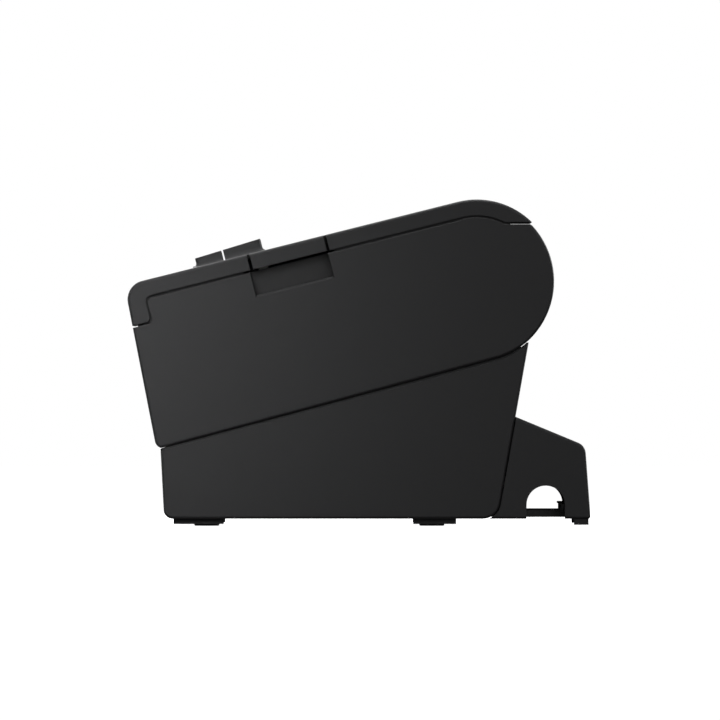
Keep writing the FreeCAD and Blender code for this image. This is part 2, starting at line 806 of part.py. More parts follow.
def upper_case():
    """Upper case: front, side and rear walls, the finger recess and the hinge bosses."""
    shell = case_blank().cut(above_case())
    foot_y = bulge_at(CASE_FOOT_Z, WALL)
    low = math.degrees(math.asin((CASE_FOOT_Z - BULGE_Z) / (BULGE_RADIUS - WALL)))
    top = math.degrees(math.asin((LEDGE_Z - BULGE_Z) / (BULGE_RADIUS - WALL)))
    hollow = Path((front_at(0, WALL), 0))
    hollow.line((foot_y, 0))
    hollow.line((foot_y, CASE_FOOT_Z))
    hollow.swing(BULGE, BULGE_RADIUS - WALL, low, top)
    hollow.line((bulge_at(LEDGE_Z, WALL), FAR))
    hollow.line((front_at(FAR, WALL), FAR))
    shell = shell.cut(hollow.solid(-INNER_HALF, INNER_HALF))
    # Edge break along the rim at both sides
    breaks = []
    for side in (-1, 1):
        start = CASE_DROP_AT + DROP_OUTER_ROUND
        inner = vec(side * (HALF - EDGE_BREAK), *deck(start, -CASE_BAND))
        outer = vec(side * HALF, *deck(start, -CASE_BAND))
        below = vec(side * HALF, *deck(start, -CASE_BAND - EDGE_BREAK))
        run = vec(0, *deck(APEX_AT, 0)) - vec(0, *deck(start, 0))
        breaks.append(Part.Face(Part.makePolygon([inner, outer, below, inner])).extrude(run))
    shell = shell.cut(breaks)
    recess_x = HALF - RECESS_WIDTH
    pocket = deck_box(RECESS_START - WALL, RECESS_END + WALL, -RECESS_DEPTH - WALL, -CASE_BAND,
                      recess_x - WALL, INNER_HALF)
    space = deck_box(RECESS_START, RECESS_END, -RECESS_DEPTH, FAR, recess_x, FAR)
    shell = shell.fuse(pocket).cut(space)
    # Tongues behind the front covers' seam
    x0 = HALF - WALL - TONGUE_SET_IN
    tongue = deck_box(TONGUE_START, TONGUE_END, TONGUE_FOOT, TONGUE_TOP, x0, x0 + TONGUE_THICK)
    root = deck_box(TONGUE_START, TONGUE_END, TONGUE_FOOT, TONGUE_ROOT, x0, INNER_HALF)
    shell = join(shell, *both_sides(join(tongue, root)))
    boss = rod(BOSS_RADIUS, ARM_X + ARM_THICK + FIT, INNER_HALF, HINGE)
    bore = rod(HINGE_PIN_RADIUS + PRESS, ARM_X, INNER_HALF - WALL, HINGE)
    return less(join(shell, *both_sides(boss)), *both_sides(bore))


def hinge_pins():
    """Two pins that stand in the case's bosses and carry the roll cover."""
    pin = rod(HINGE_PIN_RADIUS, ARM_X - WALL, INNER_HALF - WALL, HINGE)
    return Part.makeCompound(both_sides(pin))


def lower_hollow(half, front_inset, top):
    """Space inside the lower case."""
    path = Path((lower_front_at(top, front_inset), top))
    path.bend((lower_front_at(FLOOR_Z, front_inset), FLOOR_Z), (0, FLOOR_Z), LOWER_FRONT_ROUND - WALL)
    rear = (lower_rear_at(FLOOR_Z, WALL), FLOOR_Z)
    path.bend(rear, (lower_rear_at(top, WALL), top), LOWER_REAR_ROUND - WALL)
    path.line((lower_rear_at(top, WALL), top))
    return path.solid(-half, half)


def screw_places():
    """Places of the screws under the case."""
    return [(x, y) for x in (-SCREW_X, SCREW_X) for y in (SCREW_FRONT_Y, SCREW_REAR_Y)]


def foot_places():
    """Places of the rubber feet."""
    return [(x, y) for x in (-FOOT_X, FOOT_X) for y in (FRONT_PAD_Y, REAR_PAD_Y)]


def board_corners():
    """Places of the main board's standoffs."""
    x = BOARD_WIDTH / 2 - STANDOFF_INSET
    rows = (BOARD_FRONT + STANDOFF_INSET, BOARD_REAR - STANDOFF_REAR_INSET)
    return [(side, y) for side in (-x, x) for y in rows]


def lower_case():
    """Lower case: tub with the seam lip, foot blocks, bosses, cable tray and wall openings."""
    groove = SEAM_GROOVE / 2
    front_top = (lower_front_at(SEAM_FRONT_Z), seam_at(lower_front_at(SEAM_FRONT_Z), -groove))
    path = Path(front_top)
    path.line((SEAM_BEND_Y, seam_at(SEAM_BEND_Y, -groove)))
    path.glide((lower_rear_at(LOWER_REAR_TOP), LOWER_REAR_TOP))
    path.bend((LOWER_REAR_Y, LOWER_BOTTOM), (0, LOWER_BOTTOM), LOWER_REAR_ROUND)
    path.bend((lower_front_at(LOWER_BOTTOM), LOWER_BOTTOM), front_top, LOWER_FRONT_ROUND)
    blank = path.solid(-LOWER_HALF, LOWER_HALF)
    edges = [vec(side, 0, LOWER_BOTTOM) for side in (-LOWER_HALF, LOWER_HALF)]
    shell = round_at(blank, SIDE_ROUND, edges)
    shell = shell.cut(lower_hollow(LOWER_INNER, WALL, FAR))
    # Lip that closes the seam from inside
    band = slab([(-FAR, seam_at(-FAR, -LIP_ROOT)), (SEAM_BEND_Y, seam_at(SEAM_BEND_Y, -LIP_ROOT)),
                 (LIP_REAR_Y, seam_at(SEAM_BEND_Y, -LIP_ROOT)), (LIP_REAR_Y, CASE_FOOT_Z),
                 (SEAM_BEND_Y, seam_at(SEAM_BEND_Y, LIP_RISE)), (-FAR, seam_at(-FAR, LIP_RISE))], -FAR, FAR)
    lip = lower_hollow(LOWER_INNER, WALL, FAR).common(band)
    lip = lip.cut(lower_hollow(LOWER_INNER - LIP_THICK, WALL + LIP_THICK, FAR))
    # Ridge in the seam, set back from the outside
    raised = blank.translated(vec(0, 0, REVEAL_RISE))
    ridge = raised.common(lower_hollow(LOWER_HALF - REVEAL_INSET, REVEAL_INSET, FAR))
    ridge = ridge.cut(lower_hollow(LOWER_INNER, WALL, FAR))
    added = [lip, ridge]
    for x in (-FOOT_X, FOOT_X):
        x0 = x - FOOT_BLOCK_WIDTH / 2
        for y, length in ((FRONT_FOOT_Y, FRONT_FOOT_LENGTH), (REAR_FOOT_Y, REAR_FOOT_LENGTH)):
            added.append(box(x0, x0 + FOOT_BLOCK_WIDTH, y - length / 2, y + length / 2,
                             FOOT_BLOCK_BOTTOM, FLOOR_Z))
    for x, y in screw_places():
        added.append(upright(SCREW_BOSS_RADIUS, x, y, LOWER_BOTTOM, SCREW_BOSS_TOP))
    for x, y in board_corners():
        added.append(upright(STANDOFF_RADIUS, x, y, LOWER_BOTTOM, BOARD_Z))
    for y in (FRONT_LEG_Y, REAR_LEG_Y):
        added.extend(both_sides(box(LEG_X, LEG_X + LEG_WIDTH, y, y + LEG_LENGTH, LOWER_BOTTOM, LEG_FOOT_Z)))
    tray_y = lower_rear_at(TRAY_TOP, WALL)
    added.append(box(-TRAY_WIDTH / 2, TRAY_WIDTH / 2, tray_y, TRAY_END, TRAY_BOTTOM, TRAY_TOP))
    shell = join(shell, *added)
    cuts = []
    for x, y in foot_places():
        cuts.append(upright(PAD_RADIUS + PRESS, x, y, 0, PAD_HEIGHT))
    for x, y in screw_places():
        cuts.append(upright(SCREW_HEAD_RADIUS + FIT, x, y, 0, FLOOR_Z))
        cuts.append(upright(SCREW_RADIUS + PRESS, x, y, 0, FAR))
    cuts.append(box(-INTERFACE_WIDTH / 2, INTERFACE_WIDTH / 2, LOWER_REAR_Y - LOWER_REAR_ROUND, FAR,
                    INTERFACE_BOTTOM, INTERFACE_TOP))
    cuts.append(box(SWITCH_X - SWITCH_WIDTH / 2, SWITCH_X + SWITCH_WIDTH / 2,
                    -FAR, LOWER_FRONT_Y + 2 * WALL,
                    SWITCH_Z - SWITCH_HEIGHT / 2, SWITCH_Z + SWITCH_HEIGHT / 2))
    cuts.append(box(DIP_X - DIP_WIDTH / 2, DIP_X + DIP_WIDTH / 2,
                    DIP_Y - DIP_LENGTH / 2, DIP_Y + DIP_LENGTH / 2,
                    0, LOWER_BOTTOM + DIP_THICK))
    return less(shell, *cuts)


def rubber_feet():
    """Four round pads pressed into the foot blocks."""
    pads = []
    for x, y in foot_places():
        pad = upright(PAD_RADIUS, x, y, 0, PAD_HEIGHT)
        pads.append(round_at(pad, PAD_BEVEL, [vec(x, y + PAD_RADIUS, 0)]))
    return Part.makeCompound(pads)


def dip_cover():
    """Small plate flush with the underside over the setting switches."""
    half_x = DIP_WIDTH / 2 - DIP_CLEAR
    half_y = DIP_LENGTH / 2 - DIP_CLEAR
    plate = box(DIP_X - half_x, DIP_X + half_x, DIP_Y - half_y, DIP_Y + half_y,
                LOWER_BOTTOM, LOWER_BOTTOM + DIP_THICK)
    notch = upright(DIP_THICK * 2, DIP_X, DIP_Y + half_y, 0, LOWER_BOTTOM + DIP_THICK / 2)
    return less(plate, notch)


def case_screws():
    """Four screws up through the underside."""
    screws = []
    for x, y in screw_places():
        head = upright(SCREW_HEAD_RADIUS, x, y, FLOOR_Z - SCREW_HEAD_HEIGHT, FLOOR_Z)
        shank = upright(SCREW_RADIUS, x, y, FLOOR_Z - PRESS, SCREW_BOSS_TOP - WALL)
        slot = box(x - SCREW_HEAD_RADIUS / 2, x + SCREW_HEAD_RADIUS / 2, y - FIT, y + FIT, 0,
                   FLOOR_Z - SCREW_HEAD_HEIGHT / 2)
        cross = box(x - FIT, x + FIT, y - SCREW_HEAD_RADIUS / 2, y + SCREW_HEAD_RADIUS / 2, 0,
                    FLOOR_Z - SCREW_HEAD_HEIGHT / 2)
        screws.append(less(join(head, shank), slot, cross))
    return Part.makeCompound(screws)


def exit_lip(s0, s1, height):
    """Raised lip beside the paper slot, rising to the rear, with square corners."""
    rise = math.tan(math.radians(LIP_SLOPE))
    top = height + (s1 - s0) * rise
    half = LIP_HALF
    return deck_slab([(s0, -WALL), (s1, -WALL), (s1, top), (s0, height)], -half, half)


def flared(cover, lip, free_s):
    """A lip set on its cover, with rounded corners and a hollow flare round its free sides."""
    half = LIP_HALF
    corners = [vec(side, *deck(free_s, LIP_HEIGHT / 2)) for side in (-half, half)]
    whole = join(cover, round_at(lip, LIP_CORNER, corners))
    return round_at(whole, LIP_FLARE, [vec(0, *deck(free_s, 0))])


def front_tabs(x0, x1):
    """Plates inside a front cover's skirt that reach past the seam into the case."""
    along = deck_box(TAB_AT, TAB_END, -TAB_DROP, -WALL, x0, x1)
    front = deck_box(TAB_AT, FRONT_TAB_END, -FRONT_TAB_DROP, -WALL, x0, x1)
    return [along, front]


def rear_tab(start, x0, x1):
    """Plate inside the roll cover's skirt that reaches past the seam into the case."""
    along = deck_box(start, APEX_AT, -ROLL_TAB_DROP, -WALL, x0, x1)
    radius = APEX_RADIUS - BAND_DEPTH
    tail = math.degrees(math.asin((TAIL_Z - APEX[1]) / radius))
    path = Path(on_circle(APEX, APEX_RADIUS - WALL, 90 + DECK_ANGLE))
    path.swing(APEX, APEX_RADIUS - WALL, 90 + DECK_ANGLE, tail)
    path.swing(APEX, APEX_RADIUS - ROLL_TAB_DROP, tail, 90 + DECK_ANGLE)
    level = box(x0, x1, TAIL_TAB_START, TAIL_TAB_END, TAIL_Z - TAIL_TAB_DROP, TAIL_Z + WALL / 2)
    return join(along, path.solid(x0, x1), level)


def cutter_cover():
    """Cover over the cutter: sloping top, front drop, side skirt and the front exit lip."""
    blank = ROOF.common(cover_band(CUTTER_LEFT, HALF))
    space = roof_hollow(CUTTER_LEFT + WALL, INNER_HALF)
    tongue = deck_box(SLOT_AT, FAR, -FAR, FAR, -FAR, TONGUE_RIGHT)
    rear = deck_box(STRIP_END, FAR, -FAR, FAR, -FAR, FAR)
    shell = less(blank, space, tongue, rear)
    shell = join(shell, *front_tabs(INNER_HALF - FIT - TAB_THICK, INNER_HALF - FIT))
    start = SLOT_AT - FRONT_LIP_LENGTH
    return flared(shell, exit_lip(start, SLOT_AT, LIP_HEIGHT), start)


def control_panel():
    """Fixed panel beside the cutter cover, bored for the button and the lenses."""
    blank = ROOF.common(cover_band(-HALF, PANEL_INNER))
    space = roof_hollow(-INNER_HALF, PANEL_INNER - WALL)
    tongue = deck_box(SLOT_AT, FAR, -FAR, FAR, -TONGUE_LEFT, FAR)
    rear = deck_box(STRIP_END, FAR, -FAR, FAR, -FAR, FAR)
    shell = less(blank, space, tongue, rear)
    posts = []
    for x, s in panel_post_places():
        posts.append(post(PANEL_POST_RADIUS, x, s, -PANEL_BOARD_AT, -WALL))
    tabs = front_tabs(-INNER_HALF + FIT, -INNER_HALF + FIT + TAB_THICK)
    shell = join(shell, *tabs, *posts)
    cuts = [post(BUTTON_RADIUS + FIT, panel_middle(), BUTTON_AT, -BAND_DEPTH, FAR)]
    for s in lens_places():
        half = LENS_WIDTH / 2 + PRESS
        cuts.append(deck_box(s - PRESS, s + LENS_LENGTH + PRESS, -BAND_DEPTH, FAR,
                             panel_middle() - half, panel_middle() + half))
    return less(shell, *cuts)


def panel_middle():
    """X of the control panel's middle line."""
    return PANEL_INNER - PANEL_WIDTH / 2


def panel_post_places():
    """Places of the posts that carry the panel board."""
    reach = PANEL_WIDTH / 2 - PANEL_POST_INSET
    front = (panel_middle() - reach, PANEL_BOARD_FRONT + 2 * WALL)
    rear = (panel_middle() + reach, PANEL_BOARD_REAR - PANEL_POST_RADIUS)
    return [front, rear]


def lens_places():
    """Front edges of the indicator lenses along the deck."""
    return [LENS_AT + number * LENS_PITCH for number in range(LENS_COUNT)]


def led_lenses():
    """Clear lenses flush in the control panel, standing on the panel board."""
    lenses = []
    for s in lens_places():
        lenses.append(deck_box(s, s + LENS_LENGTH, -PANEL_BOARD_AT, LENS_PROUD,
                               panel_middle() - LENS_WIDTH / 2, panel_middle() + LENS_WIDTH / 2))
    return Part.makeCompound(lenses)


def panel_board():
    """Board under the control panel with the button's switch."""
    half = PANEL_WIDTH / 2 - 2 * WALL
    low = -PANEL_BOARD_AT - PANEL_BOARD_THICK
    board = deck_box(PANEL_BOARD_FRONT, PANEL_BOARD_REAR, low, -PANEL_BOARD_AT,
                     panel_middle() - half, panel_middle() + half)
    top = -BUTTON_FLANGE_AT - BUTTON_FLANGE - BUTTON_TRAVEL - FIT
    cap = post(SWITCH_CAP_RADIUS, panel_middle(), BUTTON_AT, low + PANEL_BOARD_THICK / 2, top)
    return join(board, cap)


def feed_button():
    """Round button with a flange that keeps it under the panel."""
    x = panel_middle()
    low = -BUTTON_FLANGE_AT - BUTTON_FLANGE
    cap = post(BUTTON_RADIUS, x, BUTTON_AT, low, BUTTON_PROUD)
    rim = vec(x, *deck(BUTTON_AT + BUTTON_RADIUS, BUTTON_PROUD))
    cap = round_at(cap, EDGE_BREAK, [rim])
    flange = post(BUTTON_RADIUS + BUTTON_FLANGE, x, BUTTON_AT, low, -BUTTON_FLANGE_AT)
    return join(cap, flange)


def lever_notch():
    """Space in the roll cover for the release lever."""
    return deck_box(-FAR, LEVER_END + SHOULDER_GAP, -FAR, FAR, LEVER_INNER - LEVER_GAP, FAR)


def roll_cover():
    """Cover over the paper roll: top, skirts, tongue beside the slot and the rear exit lip."""
    blank = ROOF.common(cover_band(-HALF, HALF))
    front = deck_box(-FAR, ROLL_START, -FAR, FAR, -FAR, FAR)
    left = deck_box(-FAR, SHOULDER_START, -FAR, FAR, -FAR, -TONGUE_LEFT + SPLIT_GAP)
    right = deck_box(-FAR, SHOULDER_START, -FAR, FAR, TONGUE_RIGHT - SPLIT_GAP, FAR)
    shell = less(blank, front, left, right, lever_notch())
    notch_x = LEVER_INNER - LEVER_GAP - WALL
    space = roof_hollow(-INNER_HALF, notch_x)
    space = space.cut(deck_box(-FAR, ROLL_START + WALL, -FAR, FAR, -FAR, FAR))
    behind = roof_hollow(notch_x, INNER_HALF)
    behind = behind.cut(deck_box(-FAR, LEVER_END + SHOULDER_GAP + WALL, -FAR, FAR, -FAR, FAR))
    slot = deck_box(-FAR, LEVER_PIVOT_S + EAR_WIDTH, -FAR, -WALL, notch_x, LEVER_INNER)
    shell = less(shell, space, behind, slot)
    inner = INNER_HALF - FIT - TAB_THICK
    left = rear_tab(ROLL_TAB_START, -INNER_HALF + FIT, -inner)
    right = rear_tab(LEVER_END + SHOULDER_GAP + WALL, inner, INNER_HALF - FIT)
    shell = join(shell, left, right)
    end = ROLL_START + REAR_LIP_LENGTH
    height = LIP_HEIGHT + (ROLL_START - SLOT_AT + FRONT_LIP_LENGTH) * math.tan(math.radians(LIP_SLOPE))
    return flared(shell, exit_lip(ROLL_START, end, height), end)


def platen_holder():
    """Bracket under the roll cover that carries the platen."""
    ear = deck_box(ROLL_START + WALL, EAR_REAR, EAR_BOTTOM, -WALL, EAR_X, EAR_X + EAR_THICK)
    web = deck_box(EAR_REAR - EAR_THICK, EAR_REAR, PLATEN_N, -WALL, -EAR_X, EAR_X)
    bore = rod(JOURNAL_RADIUS + RUN, -FAR, FAR, PLATEN)
    return less(join(web, *both_sides(ear)), bore)


def platen_shaft():
    """Stepped steel shaft of the platen."""
    core = rod(PLATEN_CORE, -PLATEN_HALF, PLATEN_HALF, PLATEN)
    journal = rod(JOURNAL_RADIUS, -GEAR_X - GEAR_WIDTH, GEAR_X, PLATEN)
    return join(core, journal)


def platen_rubber():
    """Rubber sleeve on the platen shaft."""
    half = PLATEN_HALF
    return less(rod(PLATEN_RADIUS, -half, half, PLATEN), rod(PLATEN_CORE + PRESS, -half, half, PLATEN))


def platen_gear():
    """Gear on the platen shaft's left end."""
    wheel = feed_gear(PLATEN_GEAR_RADIUS, PLATEN_TEETH, PLATEN)
    return less(wheel, rod(JOURNAL_RADIUS + PRESS, -FAR, FAR, PLATEN))


def platen_bearings():
    """Two bushes on the shaft that drop into the frame's notches."""
    x0 = EAR_X + EAR_THICK
    bush = rod(BEARING_RADIUS, x0, x0 + BEARING_WIDTH, PLATEN)
    bush = less(bush, rod(JOURNAL_RADIUS + RUN, -FAR, FAR, PLATEN))
    return Part.makeCompound(both_sides(bush))


def hinge_arms():
    """Two bent arms from the hinge pins to the underside of the roll cover."""
    half = ARM_WIDTH / 2
    knee_y = HINGE_Y - ARM_REACH
    roof = APEX_RADIUS - WALL
    top = APEX[1] + math.sqrt(roof * roof - (knee_y - half - FLANGE_LENGTH - APEX[0]) ** 2) - ARM_WIDTH
    x1 = ARM_X + ARM_THICK
    level = box(ARM_X, x1, knee_y - half, HINGE_Y, HINGE_Z - half, HINGE_Z + half)
    stem = box(ARM_X, x1, knee_y - half, knee_y + half, HINGE_Z - half, FAR)
    foot = box(ARM_X, x1, knee_y - half - FLANGE_LENGTH, knee_y + half, top, FAR)
    under = rod(roof, -FAR, FAR, APEX)
    eye = rod(ARM_EYE, ARM_X, x1, HINGE)
    arm = join(level, eye, stem.common(under), foot.common(under))
    arm = less(arm, rod(HINGE_PIN_RADIUS + RUN, -FAR, FAR, HINGE))
    return Part.makeCompound(both_sides(arm))


def fixed_blade():
    """Steel blade on the front of the roll cover's tongue."""
    half = BLADE_HALF
    s0 = ROLL_START + WALL
    s1 = s0 + FIXED_BLADE_THICK
    low = FIXED_BLADE_TOP - FIXED_BLADE_DEPTH
    edge = [(s0, FIXED_BLADE_TOP), (s1, FIXED_BLADE_TOP), (s1, low), (s0, low + BLADE_BEVEL)]
    return deck_slab(edge, -half, half)


def release_lever():
    """Lever at the right side that lets the roll cover go."""
    blank = ROOF.common(cover_band(LEVER_INNER, HALF))
    lever = blank.common(deck_box(LEVER_START, LEVER_END, -FAR, FAR, LEVER_INNER, HALF))
    lever = round_at(lever, EDGE_BREAK, [vec(LEVER_INNER + WALL, *deck(LEVER_START, 0))])
    grip = deck_box(LEVER_START + LEVER_GRIP_AT, LEVER_END - WALL, -BAND_DEPTH, -WALL,
                    LEVER_INNER + WALL, INNER_HALF)
    bore = rod(LEVER_SHAFT_RADIUS + PRESS, LEVER_INNER - WALL, LEVER_SHAFT_END,
               LEVER_PIVOT)
    return less(lever, grip, bore)


def lever_shaft():
    """Shaft of the release lever, through the mechanism frame's ear."""
    return rod(LEVER_SHAFT_RADIUS, FRAME_X - FRAME_THICK, LEVER_SHAFT_END, LEVER_PIVOT)


def latch_hook():
    """Hook on the lever shaft whose nose stands behind the platen's journal."""
    s = LEVER_PIVOT_S
    n = LEVER_PIVOT_N
    shank = s - HOOK_THICK / 2
    nose = s - HOOK_NOSE_REACH
    hook = deck_slab([(s - HOOK_THICK, n), (s + HOOK_THICK, n),
                      (s + HOOK_TOE, n - HOOK_LENGTH), (shank, n - HOOK_LENGTH),
                      (s - HOOK_THICK, n - HOOK_NOSE_END), (nose, n - HOOK_NOSE_TIP),
                      (nose, n - HOOK_NOSE_START), (shank, n - HOOK_LENGTH / 2)],
                     HOOK_X, HOOK_X + HOOK_THICK)
    hub = rod(HOOK_THICK, HOOK_X, HOOK_X + HOOK_THICK, LEVER_PIVOT)
    return less(join(hook, hub), rod(LEVER_SHAFT_RADIUS + PRESS, 0, FAR, LEVER_PIVOT))


def lever_spring():
    """Torsion spring round the lever shaft."""
    inner = LEVER_SHAFT_RADIUS + FIT
    sleeve = rod(inner + SPRING_THICK, SPRING_X, SPRING_X + SPRING_LENGTH, LEVER_PIVOT)
    return less(sleeve, rod(inner, 0, FAR, LEVER_PIVOT))


def frame_screw_places():
    """Places of the screws that hold the mechanism frame."""
    rows = (FRAME_SCREW_FRONT, FRAME_SCREW_REAR)
    return [(x, s) for x in (-FRAME_SCREW_X, FRAME_SCREW_X) for s in rows]


def mech_frame():
    """Bent sheet frame that carries head, motor, gears and lever shaft."""
    plate = deck_box(FRAME_FRONT, FRAME_REAR, FRAME_BOTTOM, FRAME_TOP, FRAME_X, FRAME_OUT)
    floor = deck_box(FRAME_FRONT, FRAME_REAR, FRAME_BOTTOM, FRAME_BOTTOM + FRAME_THICK,
                     -FRAME_X, FRAME_X)
    front = deck_box(FRAME_FRONT, FRAME_FRONT + FRAME_THICK, FRAME_BOTTOM, FRAME_FRONT_TOP,
                     -FRAME_X, FRAME_X)
    bar = deck_box(SPRING_BAR_AT, SPRING_BAR_AT + FRAME_THICK, SPRING_BAR_BOTTOM, SPRING_BAR_TOP,
                   -FRAME_X, FRAME_X)
    ear = deck_box(LEVER_PIVOT_S - EAR_WIDTH / 2, LEVER_PIVOT_S + EAR_WIDTH / 2,
                   PLATEN_N, LEVER_PIVOT_N, FRAME_X, FRAME_OUT)
    ear_top = rod(EAR_TOP - LEVER_PIVOT_N, FRAME_X, FRAME_OUT, LEVER_PIVOT)
    stud = rod(STUD_RADIUS, -GEAR_X - GEAR_WIDTH - FIT, -FRAME_X, IDLER)
    frame = join(floor, front, bar, *both_sides(plate), ear, ear_top, stud)
    reach = BEARING_RADIUS + FIT
    notch = deck_slab([(PLATEN_S - reach, PLATEN_N), (PLATEN_S + reach, PLATEN_N),
                       (PLATEN_S + reach + NOTCH_DRIFT, 0), (PLATEN_S - reach, 0)], -FAR, FAR)
    cuts = [notch, rod(reach, -FAR, FAR, PLATEN)]
    cuts.append(rod(LEVER_SHAFT_RADIUS + RUN, 0, FAR, LEVER_PIVOT))
    cuts.append(rod(HEAD_PIN_RADIUS + RUN, -FAR, FAR, HEAD_PIVOT))
    cuts.append(rod(MOTOR_HOLE_RADIUS, -FAR, 0, PINION))
    cuts.append(cable_slot())
    for x, s in frame_screw_places():
        cuts.append(post(SCREW_RADIUS + PRESS, x, s, -FAR, FRAME_BOTTOM + WALL))
    return less(frame, *cuts)


def cable_slot():
    """Space through frame and chassis for the head cable."""
    half = CABLE_WIDTH / 2 + FIT
    bottom = deck(HEAD_PIVOT_S, FRAME_BOTTOM - CABLE_SLOT_DROP)[1]
    return box(-half, half, CABLE_Y - CABLE_SLOT / 2, CABLE_Y + CABLE_SLOT / 2,
               bottom, HEAD_PIVOT[1] - 2 * WALL)


def paper_guide():
    """Sheet that leads the paper under the platen."""
    half = FRAME_X - FIT / 2
    return deck_box(GUIDE_FRONT, FRAME_REAR, GUIDE_N - GUIDE_THICK, GUIDE_N, -half, half)


def paper_end_sensor():
    """Optical sensor under the paper guide."""
    top = GUIDE_N - GUIDE_THICK
    s0 = (GUIDE_FRONT + FRAME_REAR) / 2
    return deck_box(s0, s0 + END_SENSOR_LENGTH, top - END_SENSOR_HEIGHT, top,
                    END_SENSOR_X, END_SENSOR_X + END_SENSOR_WIDTH)


def heat_sink():
    """Grooved aluminium block behind the print head, with its pivot pins."""
    half = PAPER_HALF
    block = deck_box(SINK_FRONT, SINK_REAR, SINK_BOTTOM, SINK_TOP, -half, half)
    pin = rod(HEAD_PIN_RADIUS, -FRAME_OUT - FIT, FRAME_OUT + FIT, HEAD_PIVOT)
    grooves = []
    pitch = PAPER_WIDTH / SINK_GROOVES
    for number in range(SINK_GROOVES):
        middle = (number + 0.5) * pitch - half
        x0 = middle - SINK_GROOVE_WIDTH / 2
        if abs(abs(middle) - HEAD_SPRING_X) > HEAD_SPRING_RADIUS + SINK_GROOVE_WIDTH:
            grooves.append(deck_box(SINK_FRONT, SINK_FRONT + SINK_GROOVE_DEPTH, -FAR, FAR,
                                    x0, x0 + SINK_GROOVE_WIDTH))
    return join(less(block, *grooves), pin)


def print_head():
    """Ceramic print head on the heat sink's rear face."""
    half = PAPER_HALF
    return deck_box(SINK_REAR, SINK_REAR + HEAD_THICK, HEAD_BOTTOM, HEAD_TOP, -half, half)


def head_springs():
    """Two springs between the frame's bar and the heat sink."""
    middle = (SPRING_BAR_TOP + SPRING_BAR_BOTTOM) / 2
    springs = []
    start = SPRING_BAR_AT + FRAME_THICK
    for x in (-HEAD_SPRING_X, HEAD_SPRING_X):
        foot = vec(x, *deck(start, middle))
        run = vec(0, *deck(1, 0)) - vec(0, *deck(0, 0))
        outer = Part.makeCylinder(HEAD_SPRING_RADIUS, HEAD_SPRING_LENGTH, foot, run)
        inner = Part.makeCylinder(HEAD_SPRING_RADIUS / 2, HEAD_SPRING_LENGTH, foot, run)
        springs.append(less(outer, inner))
    return Part.makeCompound(springs)


def head_cable():
    """Flat cable from the print head down to the main board."""
    half = CABLE_WIDTH / 2
    top = deck(HEAD_PIVOT_S, SINK_BOTTOM)[1] - 2 * FIT
    return box(-half, half, CABLE_Y, CABLE_Y + CABLE_THICK, BOARD_TOP + CABLE_SOCKET_HEIGHT, top)


def feed_motor():
    """Stepper motor on the left frame plate."""
    body = rod(MOTOR_RADIUS, -FRAME_X, -FRAME_X + MOTOR_LENGTH, PINION)
    cap = rod(MOTOR_RADIUS / 2, -FRAME_X, -FRAME_X + MOTOR_LENGTH + WALL, PINION)
    hole = rod(MOTOR_SHAFT_RADIUS + RUN, -FRAME_X, -FRAME_X + WALL, PINION)
    return less(join(body, cap), hole)


def motor_pinion():
    """Pinion and shaft of the feed motor."""
    wheel = feed_gear(PINION_RADIUS, PINION_TEETH, PINION)
    shaft = rod(MOTOR_SHAFT_RADIUS, -GEAR_X - GEAR_WIDTH, -FRAME_X + WALL - FIT, PINION)
    return join(wheel, shaft)


def idler_gear():
    """Idler between the motor pinion and the platen gear."""
    wheel = feed_gear(IDLER_RADIUS, IDLER_TEETH, IDLER)
    return less(wheel, rod(STUD_RADIUS + RUN, -FAR, FAR, IDLER))


def blade_bottom():
    """Height of the moving blade's underside above the deck."""
    return CUTTER_PLATE_TOP + FIT


def cutter_gear_x():
    """X of the cutter gear's axis, beside the blade's rack."""
    return BLADE_HALF - RACK_WIDTH - FIT - CUTTER_GEAR_RADIUS


def cutter_pinion_x():
    """X of the cutter motor's axis."""
    return cutter_gear_x() - CUTTER_GEAR_RADIUS - FIT - CUTTER_PINION_RADIUS


def cutter_frame():
    """Plate between the frame's sides that carries the cutter."""
    half = FRAME_X - FIT / 2
    low = CUTTER_PLATE_TOP - CUTTER_PLATE_THICK
    plate = deck_box(CUTTER_FRONT, CUTTER_REAR, low, CUTTER_PLATE_TOP, -half, half)
    knob_top = blade_bottom() + CUTTER_GEAR_THICK + KNOB_HEIGHT
    stud = post(CUTTER_STUD_RADIUS, cutter_gear_x(), CUTTER_GEAR_S, low, knob_top - WALL)
    hole = post(CUTTER_SHAFT_RADIUS + RUN, cutter_pinion_x(), CUTTER_GEAR_S, -FAR, FAR)
    return less(join(plate, stud), hole)


def cutter_motor():
    """Small motor under the cutter plate."""
    top = CUTTER_PLATE_TOP - CUTTER_PLATE_THICK
    body = post(CUTTER_MOTOR_RADIUS, cutter_pinion_x(), CUTTER_GEAR_S, top - CUTTER_MOTOR_LENGTH, top)
    hole = post(CUTTER_SHAFT_RADIUS + RUN, cutter_pinion_x(), CUTTER_GEAR_S, top - 2 * WALL, top)
    return less(body, hole)


def cutter_pinion():
    """Pinion and shaft of the cutter motor."""
    low = blade_bottom()
    top = low + CUTTER_GEAR_THICK
    x = cutter_pinion_x()
    wheel = deck_gear(CUTTER_PINION_RADIUS, TOOTH_DEPTH, CUTTER_PINION_TEETH, x, CUTTER_GEAR_S, low, top)
    foot = CUTTER_PLATE_TOP - CUTTER_PLATE_THICK - WALL
    shaft = post(CUTTER_SHAFT_RADIUS, x, CUTTER_GEAR_S, foot, top)
    return join(wheel, shaft)


